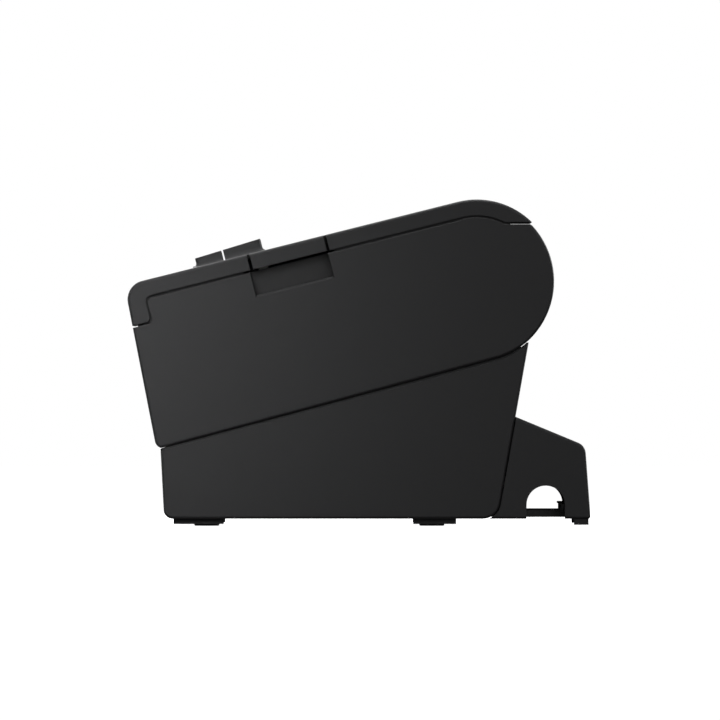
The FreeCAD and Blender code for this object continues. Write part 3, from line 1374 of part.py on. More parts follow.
def cutter_gear():
    """Cutter drive gear with its thumb knob."""
    low = blade_bottom()
    top = low + CUTTER_GEAR_THICK
    x = cutter_gear_x()
    s = CUTTER_GEAR_S
    knob_top = top + KNOB_HEIGHT
    wheel = deck_gear(CUTTER_GEAR_RADIUS, TOOTH_DEPTH, CUTTER_GEAR_TEETH, x, s, low, top)
    knob = deck_gear(KNOB_RADIUS, KNOB_GROOVE, KNOB_TEETH, x, s, top, knob_top)
    bore = post(CUTTER_STUD_RADIUS + RUN, x, s, low, knob_top - WALL + FIT)
    return less(join(wheel, knob), bore)


def cutter_blade():
    """Moving blade with the rack arm that the cutter gear drives."""
    low = blade_bottom()
    half = BLADE_HALF
    blade = deck_slab([(BLADE_START, low), (BLADE_END, low), (BLADE_END - BLADE_BEVEL, low + BLADE_THICK),
                       (BLADE_START, low + BLADE_THICK)], -half, half)
    rack = deck_box(BLADE_START - RACK_LENGTH, BLADE_START, low, low + BLADE_THICK,
                    half - RACK_WIDTH, half)
    return join(blade, rack)


def platform_z(y):
    """Height of the middle of the chassis platform at a distance along the printer."""
    angle = math.radians(DECK_ANGLE)
    n = FRAME_BOTTOM - PLATFORM_THICK / 2
    s = (y - DECK_FRONT_Y + n * math.sin(angle)) / math.cos(angle)
    return deck(s, n)[1]


def chassis():
    """Inner moulding: platform for the mechanism, paper bucket and legs."""
    half = PLATFORM_HALF
    cheek_out = CHEEK_X + BUCKET_WALL
    platform = deck_box(PLATFORM_FRONT, PLATFORM_REAR, FRAME_BOTTOM - PLATFORM_THICK, FRAME_BOTTOM,
                        -half, half)
    web_end = BUCKET_Y - math.sqrt(BUCKET_OUTER ** 2 - (BUCKET_Z - WEB_Z) ** 2) + BUCKET_WALL / 2
    web_start = deck(PLATFORM_REAR, FRAME_BOTTOM)[0] - LEG_WIDTH
    web = box(-cheek_out, cheek_out, web_start, web_end, WEB_Z, WEB_Z + WEB_THICK)
    drum = rod(BUCKET_OUTER, -cheek_out, cheek_out, BUCKET)
    drum = drum.cut(box(-FAR, FAR, -FAR, FAR, CHEEK_TOP, FAR))
    leg_x1 = LEG_X + LEG_WIDTH
    front_end = FRONT_LEG_Y + LEG_LENGTH
    front_leg = slab([(FRONT_LEG_Y, LEG_FOOT_Z), (front_end, LEG_FOOT_Z),
                      (front_end, platform_z(front_end)), (FRONT_LEG_Y, platform_z(FRONT_LEG_Y))],
                     LEG_X, leg_x1)
    rear_leg = box(LEG_X, leg_x1, REAR_LEG_Y, REAR_LEG_Y + LEG_LENGTH,
                   LEG_FOOT_Z, BUCKET_Z - BUCKET_RADIUS)
    body = join(platform, web, drum, *both_sides(front_leg), *both_sides(rear_leg))
    cuts = [rod(BUCKET_RADIUS, -CHEEK_X, CHEEK_X, BUCKET), cable_slot(), near_window()]
    for x, s in frame_screw_places():
        cuts.append(post(SCREW_RADIUS + PRESS, x, s, -FAR, FAR).common(platform))
    return less(body, *cuts)


def near_pivot_x():
    """X of the near-end lever's pivot, outside the bucket's left cheek."""
    return -(CHEEK_X + BUCKET_WALL + NEAR_PIVOT_OUT)


def near_window():
    """Window in the bucket's cheek for the near-end lever's nub."""
    y1 = NEAR_Y + NEAR_LENGTH + WINDOW_MARGIN
    y0 = NEAR_Y + NEAR_LENGTH - NUB_LENGTH - WINDOW_MARGIN
    return box(-CHEEK_X - 2 * BUCKET_WALL, -CHEEK_X + BUCKET_WALL, y0, y1,
               NEAR_Z - WINDOW_MARGIN / 2, NEAR_Z + NEAR_HEIGHT + WINDOW_MARGIN / 2)


def near_end_lever():
    """Lever that feels the side of the paper roll through the bucket's cheek."""
    x = near_pivot_x()
    top = NEAR_Z + NEAR_HEIGHT
    end = NEAR_Y + NEAR_LENGTH
    arm = box(x - NEAR_THICK / 2, x + NEAR_THICK / 2, NEAR_Y, end, NEAR_Z, top)
    nub = box(x, -CHEEK_X + NUB_PROUD, end - NUB_LENGTH, end, NEAR_Z, top)
    sleeve = upright(NEAR_SLEEVE, x, NEAR_Y, NEAR_Z, top)
    return less(join(arm, nub, sleeve), upright(NEAR_PIN_RADIUS + RUN, x, NEAR_Y, 0, FAR))


def near_end_sensor():
    """Bracket on the bucket with the near-end lever's pin and its sensor."""
    x = near_pivot_x()
    face = -CHEEK_X - BUCKET_WALL
    top = NEAR_Z + NEAR_HEIGHT
    lugs = []
    for z in (NEAR_Z - FIT - LUG_THICK, top + FIT):
        lugs.append(box(x - NEAR_SLEEVE, face, NEAR_Y - LUG_HALF, NEAR_Y + LUG_HALF, z, z + LUG_THICK))
    low = NEAR_Z - FIT - LUG_THICK
    high = top + FIT + LUG_THICK
    back = box(face - PRESS - NEAR_THICK / 3, face, NEAR_Y - LUG_HALF, NEAR_Y + LUG_HALF, low, high)
    pin = upright(NEAR_PIN_RADIUS, x, NEAR_Y, low, high)
    y1 = NEAR_Y - LUG_HALF
    sensor = box(x - NEAR_SLEEVE, face, y1 - NEAR_SENSOR_LENGTH, y1, low, high)
    return join(back, pin, sensor, *lugs)


def main_board():
    """Main circuit board on the lower case's standoffs."""
    half = BOARD_WIDTH / 2
    return box(-half, half, BOARD_FRONT, BOARD_REAR, BOARD_Z, BOARD_TOP)


def board_parts():
    """Chips, capacitors and the head cable's socket on the main board."""
    parts = []
    socket = box(-CABLE_WIDTH / 2 - WALL, CABLE_WIDTH / 2 + WALL, CABLE_Y - CABLE_SOCKET_LENGTH / 2,
                 CABLE_Y + CABLE_SOCKET_LENGTH / 2, BOARD_TOP, BOARD_TOP + CABLE_SOCKET_HEIGHT)
    parts.append(socket)
    for x, y in ((-CHIP_SIZE, -CHIP_SIZE), (CHIP_SIZE / 2, CHIP_SIZE / 2)):
        parts.append(box(x, x + CHIP_SIZE, y, y + CHIP_SIZE, BOARD_TOP, BOARD_TOP + CHIP_HEIGHT))
    for number in range(CAP_COUNT):
        y = CHIP_SIZE / 2 + number * CAP_PITCH
        parts.append(upright(CAP_RADIUS, -CHIP_SIZE - CAP_RADIUS, y, BOARD_TOP, BOARD_TOP + CAP_HEIGHT))
    return Part.makeCompound(parts)


def buzzer():
    """Round buzzer on the main board."""
    x = BOARD_WIDTH / 2 - 2 * BUZZER_RADIUS
    y = BOARD_FRONT + 4 * BUZZER_RADIUS
    body = upright(BUZZER_RADIUS, x, y, BOARD_TOP, BOARD_TOP + BUZZER_HEIGHT)
    return less(body, upright(BUZZER_HOLE, x, y, BOARD_TOP + BUZZER_HEIGHT / 2, FAR))


def port_block(x, width, height, depth):
    """Outer block of a connector on the main board's rear edge."""
    return box(x - width / 2, x + width / 2, PORT_FACE_Y - depth, PORT_FACE_Y,
               BOARD_TOP, BOARD_TOP + height)


def port_cavity(x, width, height, depth):
    """Plug space of a connector."""
    half = width / 2 - PORT_WALL
    return box(x - half, x + half, PORT_FACE_Y - depth + PORT_WALL, PORT_FACE_Y + PORT_WALL,
               BOARD_TOP + PORT_WALL, BOARD_TOP + height - PORT_WALL)


def usb_socket():
    """Square data socket with its tongue."""
    size = (USB_X, USB_WIDTH, USB_HEIGHT, USB_DEPTH)
    shell = less(port_block(*size), port_cavity(*size))
    middle = BOARD_TOP + USB_HEIGHT / 2
    tongue = box(USB_X - USB_WIDTH / 4, USB_X + USB_WIDTH / 4, PORT_FACE_Y - USB_DEPTH + PORT_WALL,
                 PORT_FACE_Y - PORT_WALL, middle - PORT_WALL, middle + PORT_WALL)
    return join(shell, tongue)


def lan_socket():
    """Network socket."""
    size = (LAN_X, LAN_WIDTH, LAN_HEIGHT, LAN_DEPTH)
    return less(port_block(*size), port_cavity(*size))


def drawer_socket():
    """Socket for the cash drawer's lead."""
    size = (DRAWER_X, DRAWER_WIDTH, DRAWER_HEIGHT, DRAWER_DEPTH)
    return less(port_block(*size), port_cavity(*size))


def power_inlet():
    """Round power inlet with three pins."""
    block = port_block(INLET_X, INLET_WIDTH, INLET_HEIGHT, INLET_DEPTH)
    middle = BOARD_TOP + INLET_HEIGHT / 2
    floor_y = PORT_FACE_Y - INLET_DEPTH + 2 * PORT_WALL
    bore = Part.makeCylinder(INLET_BORE, FAR, vec(INLET_X, floor_y, middle), vec(0, 1, 0))
    pins = []
    length = INLET_DEPTH / 2 + PORT_WALL
    for angle in INLET_PIN_ANGLES:
        x, z = on_circle((INLET_X, middle), INLET_BORE / 2, angle)
        root = vec(x, floor_y - PORT_WALL, z)
        pins.append(Part.makeCylinder(INLET_PIN / 2, length, root, vec(0, 1, 0)))
    return join(less(block, bore), *pins)


def interface_plate():
    """Sheet that closes the rear wall round the connectors."""
    half = INTERFACE_WIDTH / 2 - PRESS
    low = INTERFACE_BOTTOM + PRESS
    high = INTERFACE_TOP - PRESS
    deep = INTERFACE_INSET + INTERFACE_THICK
    plate = slab([(lower_rear_at(low, deep), low), (lower_rear_at(low, INTERFACE_INSET), low),
                  (lower_rear_at(high, INTERFACE_INSET), high), (lower_rear_at(high, deep), high)],
                 -half, half)
    cuts = []
    for x, width, height in ((USB_X, USB_WIDTH, USB_HEIGHT), (LAN_X, LAN_WIDTH, LAN_HEIGHT),
                             (DRAWER_X, DRAWER_WIDTH, DRAWER_HEIGHT), (INLET_X, INLET_WIDTH, INLET_HEIGHT)):
        cuts.append(box(x - width / 2 - FIT, x + width / 2 + FIT, 0, FAR, 0, BOARD_TOP + height + FIT))
    for x in (-INTERFACE_SCREW_X, INTERFACE_SCREW_X):
        start = vec(x, 0, INTERFACE_SCREW_Z)
        cuts.append(Part.makeCylinder(SCREW_RADIUS + PRESS, FAR, start, vec(0, 1, 0)))
    return less(plate, *cuts)


def interface_screws():
    """Two screws on the interface plate."""
    lean = math.tan(math.radians(LOWER_REAR_LEAN))
    face = lower_rear_at(INTERFACE_SCREW_Z, INTERFACE_INSET) + FRAME_SCREW_HEAD * lean
    screws = []
    for x in (-INTERFACE_SCREW_X, INTERFACE_SCREW_X):
        seat = vec(x, face, INTERFACE_SCREW_Z)
        head = Part.makeCylinder(FRAME_SCREW_HEAD, FRAME_SCREW_HEIGHT, seat, vec(0, 1, 0))
        shank = Part.makeCylinder(SCREW_RADIUS, SCREW_BOSS_RADIUS, seat, vec(0, -1, 0))
        screws.append(join(head, shank))
    return Part.makeCompound(screws)


def frame_screws():
    """Four screws from the mechanism frame into the chassis."""
    screws = []
    top = FRAME_BOTTOM + FRAME_THICK
    for x, s in frame_screw_places():
        head = post(FRAME_SCREW_HEAD, x, s, top, top + FRAME_SCREW_HEIGHT)
        shank = post(SCREW_RADIUS, x, s, FRAME_BOTTOM - PLATFORM_THICK, top + PRESS)
        screws.append(join(head, shank))
    return Part.makeCompound(screws)


def cover_line(y, inset=0.0):
    """Z of the connector cover's sloping top."""
    slope = math.radians(COVER_TOP_SLOPE)
    start = lower_rear_at(COVER_TOP_Z)
    return COVER_TOP_Z - (y - start) * math.tan(slope) - inset / math.cos(slope)


def cover_rear(z, inset=0.0):
    """Y of the connector cover's rear wall at a height."""
    lean = math.radians(COVER_REAR_LEAN)
    return COVER_REAR_Y - (z - COVER_BOTTOM) * math.tan(lean) - inset / math.cos(lean)


def cover_corner(inset=0.0):
    """Point where the connector cover's top and rear would meet."""
    y = COVER_REAR_Y
    for _ in range(20):
        y = cover_rear(cover_line(y, inset), inset)
    return (y, cover_line(y, inset))


def connector_cover():
    """Cover over the cables at the rear, with an arch in each side."""
    front = FIT + PRESS
    top = (lower_rear_at(COVER_TOP_Z, -front), cover_line(lower_rear_at(COVER_TOP_Z, -front)))
    # Front edge that follows the lower case's round corner and rear wall
    lean = math.radians(LOWER_REAR_LEAN)
    tangent = LOWER_REAR_ROUND / math.tan((math.pi / 2 + lean) / 2)
    corner = (LOWER_REAR_Y - tangent, LOWER_BOTTOM + LOWER_REAR_ROUND)
    radius = LOWER_REAR_ROUND + front
    tip = math.degrees(math.asin((COVER_BOTTOM - corner[1]) / radius))
    path = Path(on_circle(corner, radius, tip))
    path.swing(corner, radius, tip, -LOWER_REAR_LEAN)
    path.line(top)
    path.bend(cover_corner(), (cover_rear(COVER_BOTTOM), COVER_BOTTOM), COVER_ROUND)
    path.bend((cover_rear(COVER_BOTTOM), COVER_BOTTOM), (0, COVER_BOTTOM), COVER_CORNER)
    blank = path.solid(-COVER_HALF, COVER_HALF)
    middle = (ARCH_Y, cover_line(ARCH_Y))
    blank = round_at(blank, COVER_SIDE_ROUND, [vec(side, *middle) for side in (-COVER_HALF, COVER_HALF)])
    hollow = Path((0, -FAR))
    hollow.line((0, cover_line(0, WALL)))
    hollow.bend(cover_corner(WALL), (cover_rear(0, WALL), 0), COVER_ROUND - WALL)
    hollow.line((cover_rear(-FAR, WALL), -FAR))
    foot = box(COVER_HALF - WALL - COVER_FOOT_WIDTH, COVER_HALF - WALL / 2,
               COVER_FOOT_START, COVER_FOOT_START + COVER_FOOT_LENGTH,
               COVER_FOOT_BOTTOM, COVER_BOTTOM + WALL)
    arch = rod(ARCH_RADIUS, -FAR, FAR, (ARCH_Y, ARCH_Z))
    below = box(-FAR, FAR, ARCH_Y - ARCH_RADIUS, ARCH_Y + ARCH_RADIUS, -FAR, ARCH_Z)
    inside = hollow.solid(-COVER_HALF + WALL, COVER_HALF - WALL)
    return join(less(blank, inside, arch, below), *both_sides(foot))


def rocker_pivot():
    """Side-view place of the power rocker's axis."""
    return (lower_front_at(SWITCH_Z, ROCKER_SET_BACK), SWITCH_Z)


def switch_body():
    """Power switch body in the lower case's front wall."""
    half = SWITCH_WIDTH / 2 - PRESS
    face = lower_front_at(SWITCH_Z) + SWITCH_INSET
    body = box(SWITCH_X - half, SWITCH_X + half, face, face + SWITCH_DEPTH,
               SWITCH_Z - SWITCH_HEIGHT / 2 + PRESS, SWITCH_Z + SWITCH_HEIGHT / 2 - PRESS)
    well = box(SWITCH_X - half + SWITCH_RIM, SWITCH_X + half - SWITCH_RIM, face - WALL,
               rocker_pivot()[0] + ROCKER_HALF + ROCKER_BACK,
               SWITCH_Z - SWITCH_HEIGHT / 2 + SWITCH_RIM, SWITCH_Z + SWITCH_HEIGHT / 2 - SWITCH_RIM)
    pin = rod(ROCKER_PIN, SWITCH_X - half, SWITCH_X + half, rocker_pivot())
    return join(less(body, well), pin)


def power_rocker():
    """Rocker of the power switch, at rest tipped to off."""
    y, z = rocker_pivot()
    half = SWITCH_WIDTH / 2 - SWITCH_RIM - FIT
    rocker = slab([(y - ROCKER_REACH, z + ROCKER_HALF), (y - ROCKER_REACH + ROCKER_DISH, z),
                   (y - ROCKER_REACH, z - ROCKER_HALF), (y + ROCKER_BACK, z - ROCKER_HALF / 2),
                   (y + ROCKER_BACK, z + ROCKER_HALF / 2)], SWITCH_X - half, SWITCH_X + half)
    rocker = less(rocker, rod(ROCKER_PIN + RUN, -FAR, FAR, (y, z)))
    rocker.rotate(vec(0, y, z), vec(1, 0, 0), -ROCKER_TILT)
    return rocker


PIECES = (
    upper_case, lower_case, rubber_feet, dip_cover, case_screws,
    cutter_cover, control_panel, led_lenses, panel_board, feed_button,
    roll_cover, platen_holder, hinge_arms, hinge_pins, fixed_blade,
    platen_shaft, platen_rubber, platen_gear, platen_bearings,
    release_lever, lever_shaft, latch_hook, lever_spring,
    mech_frame, frame_screws, paper_guide, paper_end_sensor,
    heat_sink, print_head, head_springs, head_cable,
    feed_motor, motor_pinion, idler_gear,
    cutter_frame, cutter_motor, cutter_pinion, cutter_gear, cutter_blade,
    chassis, near_end_lever, near_end_sensor,
    main_board, board_parts, buzzer,
    usb_socket, lan_socket, drawer_socket, power_inlet,
    interface_plate, interface_screws, connector_cover,
    switch_body, power_rocker,
)

os.makedirs("parts", exist_ok=True)
for piece in PIECES:
    shape = piece()
    shape.exportStep(os.path.join("parts", piece.__name__ + ".step"))
    print(piece.__name__, len(shape.Solids), round(shape.Volume, 1), shape.isValid())
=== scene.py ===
import json
import logging
import math
from dataclasses import dataclass
from enum import Enum
from typing import Iterable, Mapping, Optional, Sequence, Union

import bmesh
import bpy
from mathutils import Matrix, Vector
from mathutils.bvhtree import BVHTree


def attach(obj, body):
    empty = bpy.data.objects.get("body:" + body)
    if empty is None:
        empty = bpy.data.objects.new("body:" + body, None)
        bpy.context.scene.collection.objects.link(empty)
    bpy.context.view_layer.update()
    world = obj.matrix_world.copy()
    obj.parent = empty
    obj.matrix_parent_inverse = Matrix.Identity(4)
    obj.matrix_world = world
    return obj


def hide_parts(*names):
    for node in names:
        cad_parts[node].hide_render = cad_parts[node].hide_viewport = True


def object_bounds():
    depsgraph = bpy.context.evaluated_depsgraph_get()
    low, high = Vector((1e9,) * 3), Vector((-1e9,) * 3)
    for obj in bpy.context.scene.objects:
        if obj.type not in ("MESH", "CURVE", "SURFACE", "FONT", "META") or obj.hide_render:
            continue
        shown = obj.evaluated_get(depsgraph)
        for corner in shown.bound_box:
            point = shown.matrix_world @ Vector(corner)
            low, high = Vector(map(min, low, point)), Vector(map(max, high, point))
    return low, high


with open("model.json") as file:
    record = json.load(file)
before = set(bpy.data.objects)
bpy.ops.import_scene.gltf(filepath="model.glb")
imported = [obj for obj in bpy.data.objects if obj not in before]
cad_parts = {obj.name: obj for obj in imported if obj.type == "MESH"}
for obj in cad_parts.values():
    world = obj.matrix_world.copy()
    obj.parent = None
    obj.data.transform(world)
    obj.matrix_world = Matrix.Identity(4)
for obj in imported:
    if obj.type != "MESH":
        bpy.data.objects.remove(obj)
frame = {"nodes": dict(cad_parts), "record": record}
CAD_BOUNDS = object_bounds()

LOG = logging.getLogger("receipt_printer")
MM = 0.001
# Edges that turn by more than this many degrees stay sharp.
SHARP_ANGLE = 38.0
# Turned shapes end this far off their axis, in millimetres, so that no points coincide.
AXIS_RADIUS = 0.01
# Rays that feel for edges and crevices.
EDGE_SAMPLES = 6
# Mean of a soft random pattern.
NOISE_MIDDLE = 0.5
WHITE = (1.0, 1.0, 1.0, 1.0)
ACROSS = Vector((1.0, 0.0, 0.0))
REARWARD = Vector((0.0, 1.0, 0.0))
UPWARD = Vector((0.0, 0.0, 1.0))

Colour = tuple[float, float, float]
Place = tuple[float, float, float]
Band = tuple[float, float]
SocketKey = Union[int, str]
SocketValue = Union["Signal", float, Sequence[float]]
Sockets = dict[SocketKey, SocketValue]


class Slot(Enum):
    """The material slots of the printer's record."""

    CASE = "case_plastic"
    INNER = "inner_plastic"
    BUTTON = "button_plastic"
    LENS = "lens_plastic"
    SOCKET = "socket_plastic"
    CHIP = "chip_plastic"
    FOOT = "foot_rubber"
    PLATEN = "platen_rubber"
    BOARD = "circuit_board"
    RIBBON = "ribbon"
    CERAMIC = "ceramic"
    GEAR = "gear_plastic"
    SHEET = "sheet_steel"
    BLADE = "blade_steel"
    SHAFT = "shaft_steel"
    SPRING = "spring_steel"
    SCREW = "screw_steel"
    MOTOR = "motor_steel"
    SINK = "sink_aluminium"


class Axis(Enum):
    """The axes of the shared frame, by their place in a vector."""

    X = 0
    Y = 1
    Z = 2


class Signal:
    """A shader socket that Python arithmetic can be written on."""

    def __init__(self, tree: "ShaderTree", socket: bpy.types.NodeSocket) -> None:
        """Keeps the socket and the tree that it belongs to."""
        self.tree = tree
        self.socket = socket

    def _math(self, operation: str, first: SocketValue, second: SocketValue = 0.0) -> "Signal":
        """Adds one Math node for two values."""
        return self.tree.add("ShaderNodeMath", {"operation": operation}, {0: first, 1: second})

    def __add__(self, other: SocketValue) -> "Signal":
        """Sum of two values."""
        return self._math("ADD", self, other)

    __radd__ = __add__

    def __sub__(self, other: SocketValue) -> "Signal":
        """Difference of two values."""
        return self._math("SUBTRACT", self, other)

    def __rsub__(self, other: SocketValue) -> "Signal":
        """Difference of two values."""
        return self._math("SUBTRACT", other, self)

    def __mul__(self, other: SocketValue) -> "Signal":
        """Product of two values."""
        return self._math("MULTIPLY", self, other)

    __rmul__ = __mul__

    def __lt__(self, other: SocketValue) -> "Signal":
        """One where this value is the smaller, otherwise zero."""
        return self._math("LESS_THAN", self, other)

    def __gt__(self, other: SocketValue) -> "Signal":
        """One where this value is the larger, otherwise zero."""
        return self._math("GREATER_THAN", self, other)

    def wave(self) -> "Signal":
        """Sine of an angle in radians."""
        return self._math("SINE", self)

    def swing(self, amount: float) -> "Signal":
        """A soft random pattern moved to lie around zero, times an amount."""
        return (self - NOISE_MIDDLE) * amount

    def blend(self, other: "Signal", share: float) -> "Signal":
        """Weighted sum with another signal, which has the given share."""
        return self * (1.0 - share) + other * share

    def fade(self, low: float, high: float) -> "Signal":
        """Smooth step from 0 at low to 1 at high.

        Args:
            low: Value that gives 0.
            high: Value that gives 1.

        Returns:
            The stepped signal.
        """
        settings = {"interpolation_type": "SMOOTHSTEP"}
        sockets = {"Value": self, "From Min": low, "From Max": high}
        return self.tree.add("ShaderNodeMapRange", settings, sockets)


class ShaderTree:
    """A node tree that is built from Python expressions."""

    def __init__(self, owner: bpy.types.NodeTree) -> None:
        """Takes over a node tree and empties it.

        Args:
            owner: The node tree of a material or a world.
        """
        self.nodes = owner.nodes
        self.links = owner.links
        self.nodes.clear()

    @staticmethod
    def _socket(sockets: Iterable[bpy.types.NodeSocket], key: SocketKey) -> bpy.types.NodeSocket:
        """Finds a socket.

        Args:
            sockets: A node's inputs or outputs.
            key: The socket's place, identifier or name.

        Returns:
            The first socket that fits.
        """
        if isinstance(key, int):
            return list(sockets)[key]
        return next(socket for socket in sockets if key in (socket.identifier, socket.name))

    def add(
        self,
        kind: str,
        settings: Mapping[str, object],
        sockets: Mapping[SocketKey, SocketValue],
        output: SocketKey = 0,
    ) -> Signal:
        """Adds a node of any type.

        Args:
            kind: Blender's name for the node type.
            settings: The node's own properties, which are set first.
            sockets: Values or signals for its inputs.
            output: The output that is wanted.

        Returns:
            The wanted output as a signal.
        """
        node = self.nodes.new(kind)
        for name, value in settings.items():
            setattr(node, name, value)
        for key, value in sockets.items():
            socket = self._socket(node.inputs, key)
            if isinstance(value, Signal):
                self.links.new(value.socket, socket)
            else:
                socket.default_value = value
        return Signal(self, self._socket(node.outputs, output))

    def close(self, surface: Signal, kind: str) -> None:
        """Ends the tree with an output node of the given type."""
        self.links.new(surface.socket, self.nodes.new(kind).inputs["Surface"])

    def place(self) -> Signal:
        """The point on the surface, in metres in the shared frame."""
        return self.add("ShaderNodeTexCoord", {}, {}, "Object")

    def along(self, place: Signal, axis: Axis) -> Signal:
        """One coordinate of a point."""
        return self.add("ShaderNodeSeparateXYZ", {}, {0: place}, axis.value)

    def stretch(self, place: Signal, factors: Sequence[float]) -> Signal:
        """A point with each coordinate multiplied."""
        return self.add("ShaderNodeVectorMath", {"operation": "MULTIPLY"}, {0: place, 1: factors})

    def noise(self, place: Signal, size: float, detail: float = 2.0) -> Signal:
        """Soft random pattern.

        Args:
            place: Point on the surface.
            size: Size of its clumps in millimetres.
            detail: Number of finer layers.

        Returns:
            A signal around 0.5.
        """
        sockets = {"Vector": place, "Scale": 1.0 / (size * MM), "Detail": detail}
        return self.add("ShaderNodeTexNoise", {}, sockets)

    def cells(self, place: Signal, size: float, feature: str = "F1") -> Signal:
        """Distance in a pattern of cells of a size in millimetres."""
        sockets = {"Vector": place, "Scale": 1.0 / (size * MM)}
        return self.add("ShaderNodeTexVoronoi", {"feature": feature}, sockets, "Distance")

    def stripes(self, place: Signal, pitch: float) -> Signal:
        """Wave from -1 to 1 across the printer, of a pitch in millimetres."""
        return (self.along(place, Axis.X) * (math.tau / (pitch * MM))).wave()

    def mix(self, factor: SocketValue, first: SocketValue, second: SocketValue) -> Signal:
        """Colour between two colours."""
        sockets = {"Factor_Float": factor, "A_Color": first, "B_Color": second}
        return self.add("ShaderNodeMix", {"data_type": "RGBA"}, sockets, "Result_Color")

    def softened(self, radius: float) -> Signal:
        """Surface normal with edges eased by a radius in millimetres."""
        return self.add("ShaderNodeBevel", {"samples": EDGE_SAMPLES}, {"Radius": radius * MM})

    def turned(self, normal: Signal) -> Signal:
        """How far a normal leans from the surface.

        Args:
            normal: The eased normal.

        Returns:
            0 on a flat, up to 1 on an edge.
        """
        flat = self.add("ShaderNodeNewGeometry", {}, {}, "Normal")
        settings = {"operation": "DOT_PRODUCT"}
        return 1.0 - self.add("ShaderNodeVectorMath", settings, {0: normal, 1: flat}, "Value")

    def openness(self, reach: float) -> Signal:
        """Share of open space within a reach in millimetres: low in a crevice."""
        settings = {"samples": EDGE_SAMPLES}
        return self.add("ShaderNodeAmbientOcclusion", settings, {"Distance": reach * MM}, "AO")

    def bump(self, height: Signal, depth: float, normal: Optional[Signal] = None) -> Signal:
        """Surface normal over a relief.

        Args:
            height: The relief, from 0 to 1.
            depth: Its depth in millimetres.
            normal: Normal that it lies on, where that isn't the surface's own.

        Returns:
            The normal.
        """
        sockets: Sockets = {"Strength": 1.0, "Distance": depth * MM, "Height": height}
        if normal is not None:
            sockets["Normal"] = normal
        return self.add("ShaderNodeBump", {}, sockets)


def tint(colour: Colour, factor: float = 1.0) -> tuple[float, float, float, float]:
    """A colour made lighter or darker, with full alpha.

    Args:
        colour: Linear red, green and blue.
        factor: Multiplier.

    Returns:
        Red, green, blue and alpha.
    """
    red, green, blue = (min(1.0, part * factor) for part in colour)
    return (red, green, blue, 1.0)


@dataclass(frozen=True)
class Finish:
    """What every finish has: a colour, a roughness and a way to become a material.

    The sizes of a finish are in millimetres. A band says where a pattern starts and where it is full,
    a share is one pattern's weight in a blend, and a swing is how far it moves the roughness.
    """

    colour: Colour
    roughness: float

    def fixed(self) -> Sockets:
        """Shader values that are the same all over."""
        return {"Specular IOR Level": 0.5}

    def varied(self, tree: ShaderTree) -> Sockets:
        """Shader values that change over the surface."""
        raise NotImplementedError

    def material(self, name: str) -> bpy.types.Material:
        """Builds the finish as a material.

        Args:
            name: Name of the material.

        Returns:
            The new material.
        """
        material = bpy.data.materials.new(name)
        material.use_nodes = True
        tree = ShaderTree(material.node_tree)
        sockets = {**self.fixed(), **self.varied(tree)}
        surface = tree.add("ShaderNodeBsdfPrincipled", {}, sockets)
        tree.close(surface, "ShaderNodeOutputMaterial")
        return material


@dataclass(frozen=True)
class MouldedPlastic(Finish):
    """Matte plastic with the fine grain of a spark-eroded mould."""

    grain: float = 0.35
    depth: float = 0.012
    cloud: float = 38.0
    cloud_share: float = 0.4
    contrast: float = 0.08
    speckle_band: Band = (0.3, 0.7)
    gloss: float = 0.35
    edge: float = 0.5
    # How much lighter the edges are painted: partly wear, partly a painted highlight along every edge.
    rub_and_highlight: float = 1.9
    rub_least: float = 0.5
    rub_band: Band = (0.02, 0.25)
    # Crevices within this reach are painted darker: mostly painted shade, with some grime.
    crevice: float = 2.0
    crevice_band: Band = (0.25, 0.85)
    shade_and_grime: float = 0.3
    grain_swing: float = 0.16
    cloud_swing: float = 0.08
    rub_swing: float = 0.08

    def fixed(self) -> Sockets:
        """Shader values that are the same all over."""
        return {"Specular IOR Level": self.gloss}

    def varied(self, tree: ShaderTree) -> Sockets:
        """Grain and clouds, edges painted lighter as wear and a painted highlight, and crevices painted
        darker as painted shade with some grime.

        Args:
            tree: Tree for its nodes.

        Returns:
            The shader's varied values.
        """
        place = tree.place()
        grain = tree.noise(place, self.grain, detail=3.0)
        cloud = tree.noise(place, self.cloud)
        dark = tint(self.colour, 1.0 - self.contrast)
        light = tint(self.colour, 1.0 + self.contrast)
        speckle = grain.blend(cloud, self.cloud_share).fade(*self.speckle_band)
        eased = tree.softened(self.edge)
        uneven = self.rub_least + (1.0 - self.rub_least) * cloud
        # Edge mask: the lighter colour on it is wear and a painted highlight; the lower roughness on it
        # is wear.
        wear_and_highlight = tree.turned(eased).fade(*self.rub_band) * uneven
        # Painted shade in crevices and gaps, with some grime, taken from an ambient-occlusion mask.
        shade_and_grime_mask = 1.0 - tree.openness(self.crevice).fade(*self.crevice_band)
        unshaded = tree.mix(wear_and_highlight, tree.mix(speckle, dark, light), tint(self.colour, self.rub_and_highlight))
        dull = grain.swing(self.grain_swing) + cloud.swing(self.cloud_swing)
        return {
            "Base Color": tree.mix(shade_and_grime_mask, unshaded, tint(self.colour, self.shade_and_grime)),
            "Roughness": self.roughness + dull - wear_and_highlight * self.rub_swing,
            "Normal": tree.bump(grain, self.depth, eased),
        }


@dataclass(frozen=True)
class SoftRubber(Finish):
    """Dull rubber with a ground skin and a trace of dust."""

    skin: float = 0.22
    skin_swing: float = 0.2
    depth: float = 0.03
    patch: float = 6.0
    dust: float = 0.25
    dust_band: Band = (0.52, 0.78)
    dust_colour: Colour = (0.16, 0.155, 0.15)

    def fixed(self) -> Sockets:
        """Shader values that are the same all over."""
        return {"Specular IOR Level": 0.25, "Sheen Weight": 0.08, "Sheen Roughness": 0.6}

    def varied(self, tree: ShaderTree) -> Sockets:
        """A fine skin under patches of dust.

        Args:
            tree: Tree for its nodes.

        Returns:
            The shader's varied values.
        """
        place = tree.place()
        skin = tree.noise(place, self.skin, detail=4.0)
        dust = tree.noise(place, self.patch, detail=3.0).fade(*self.dust_band) * self.dust
        return {
            "Base Color": tree.mix(dust, tint(self.colour), tint(self.dust_colour)),
            "Roughness": self.roughness + skin.swing(self.skin_swing),
            "Normal": tree.bump(skin, self.depth),
        }


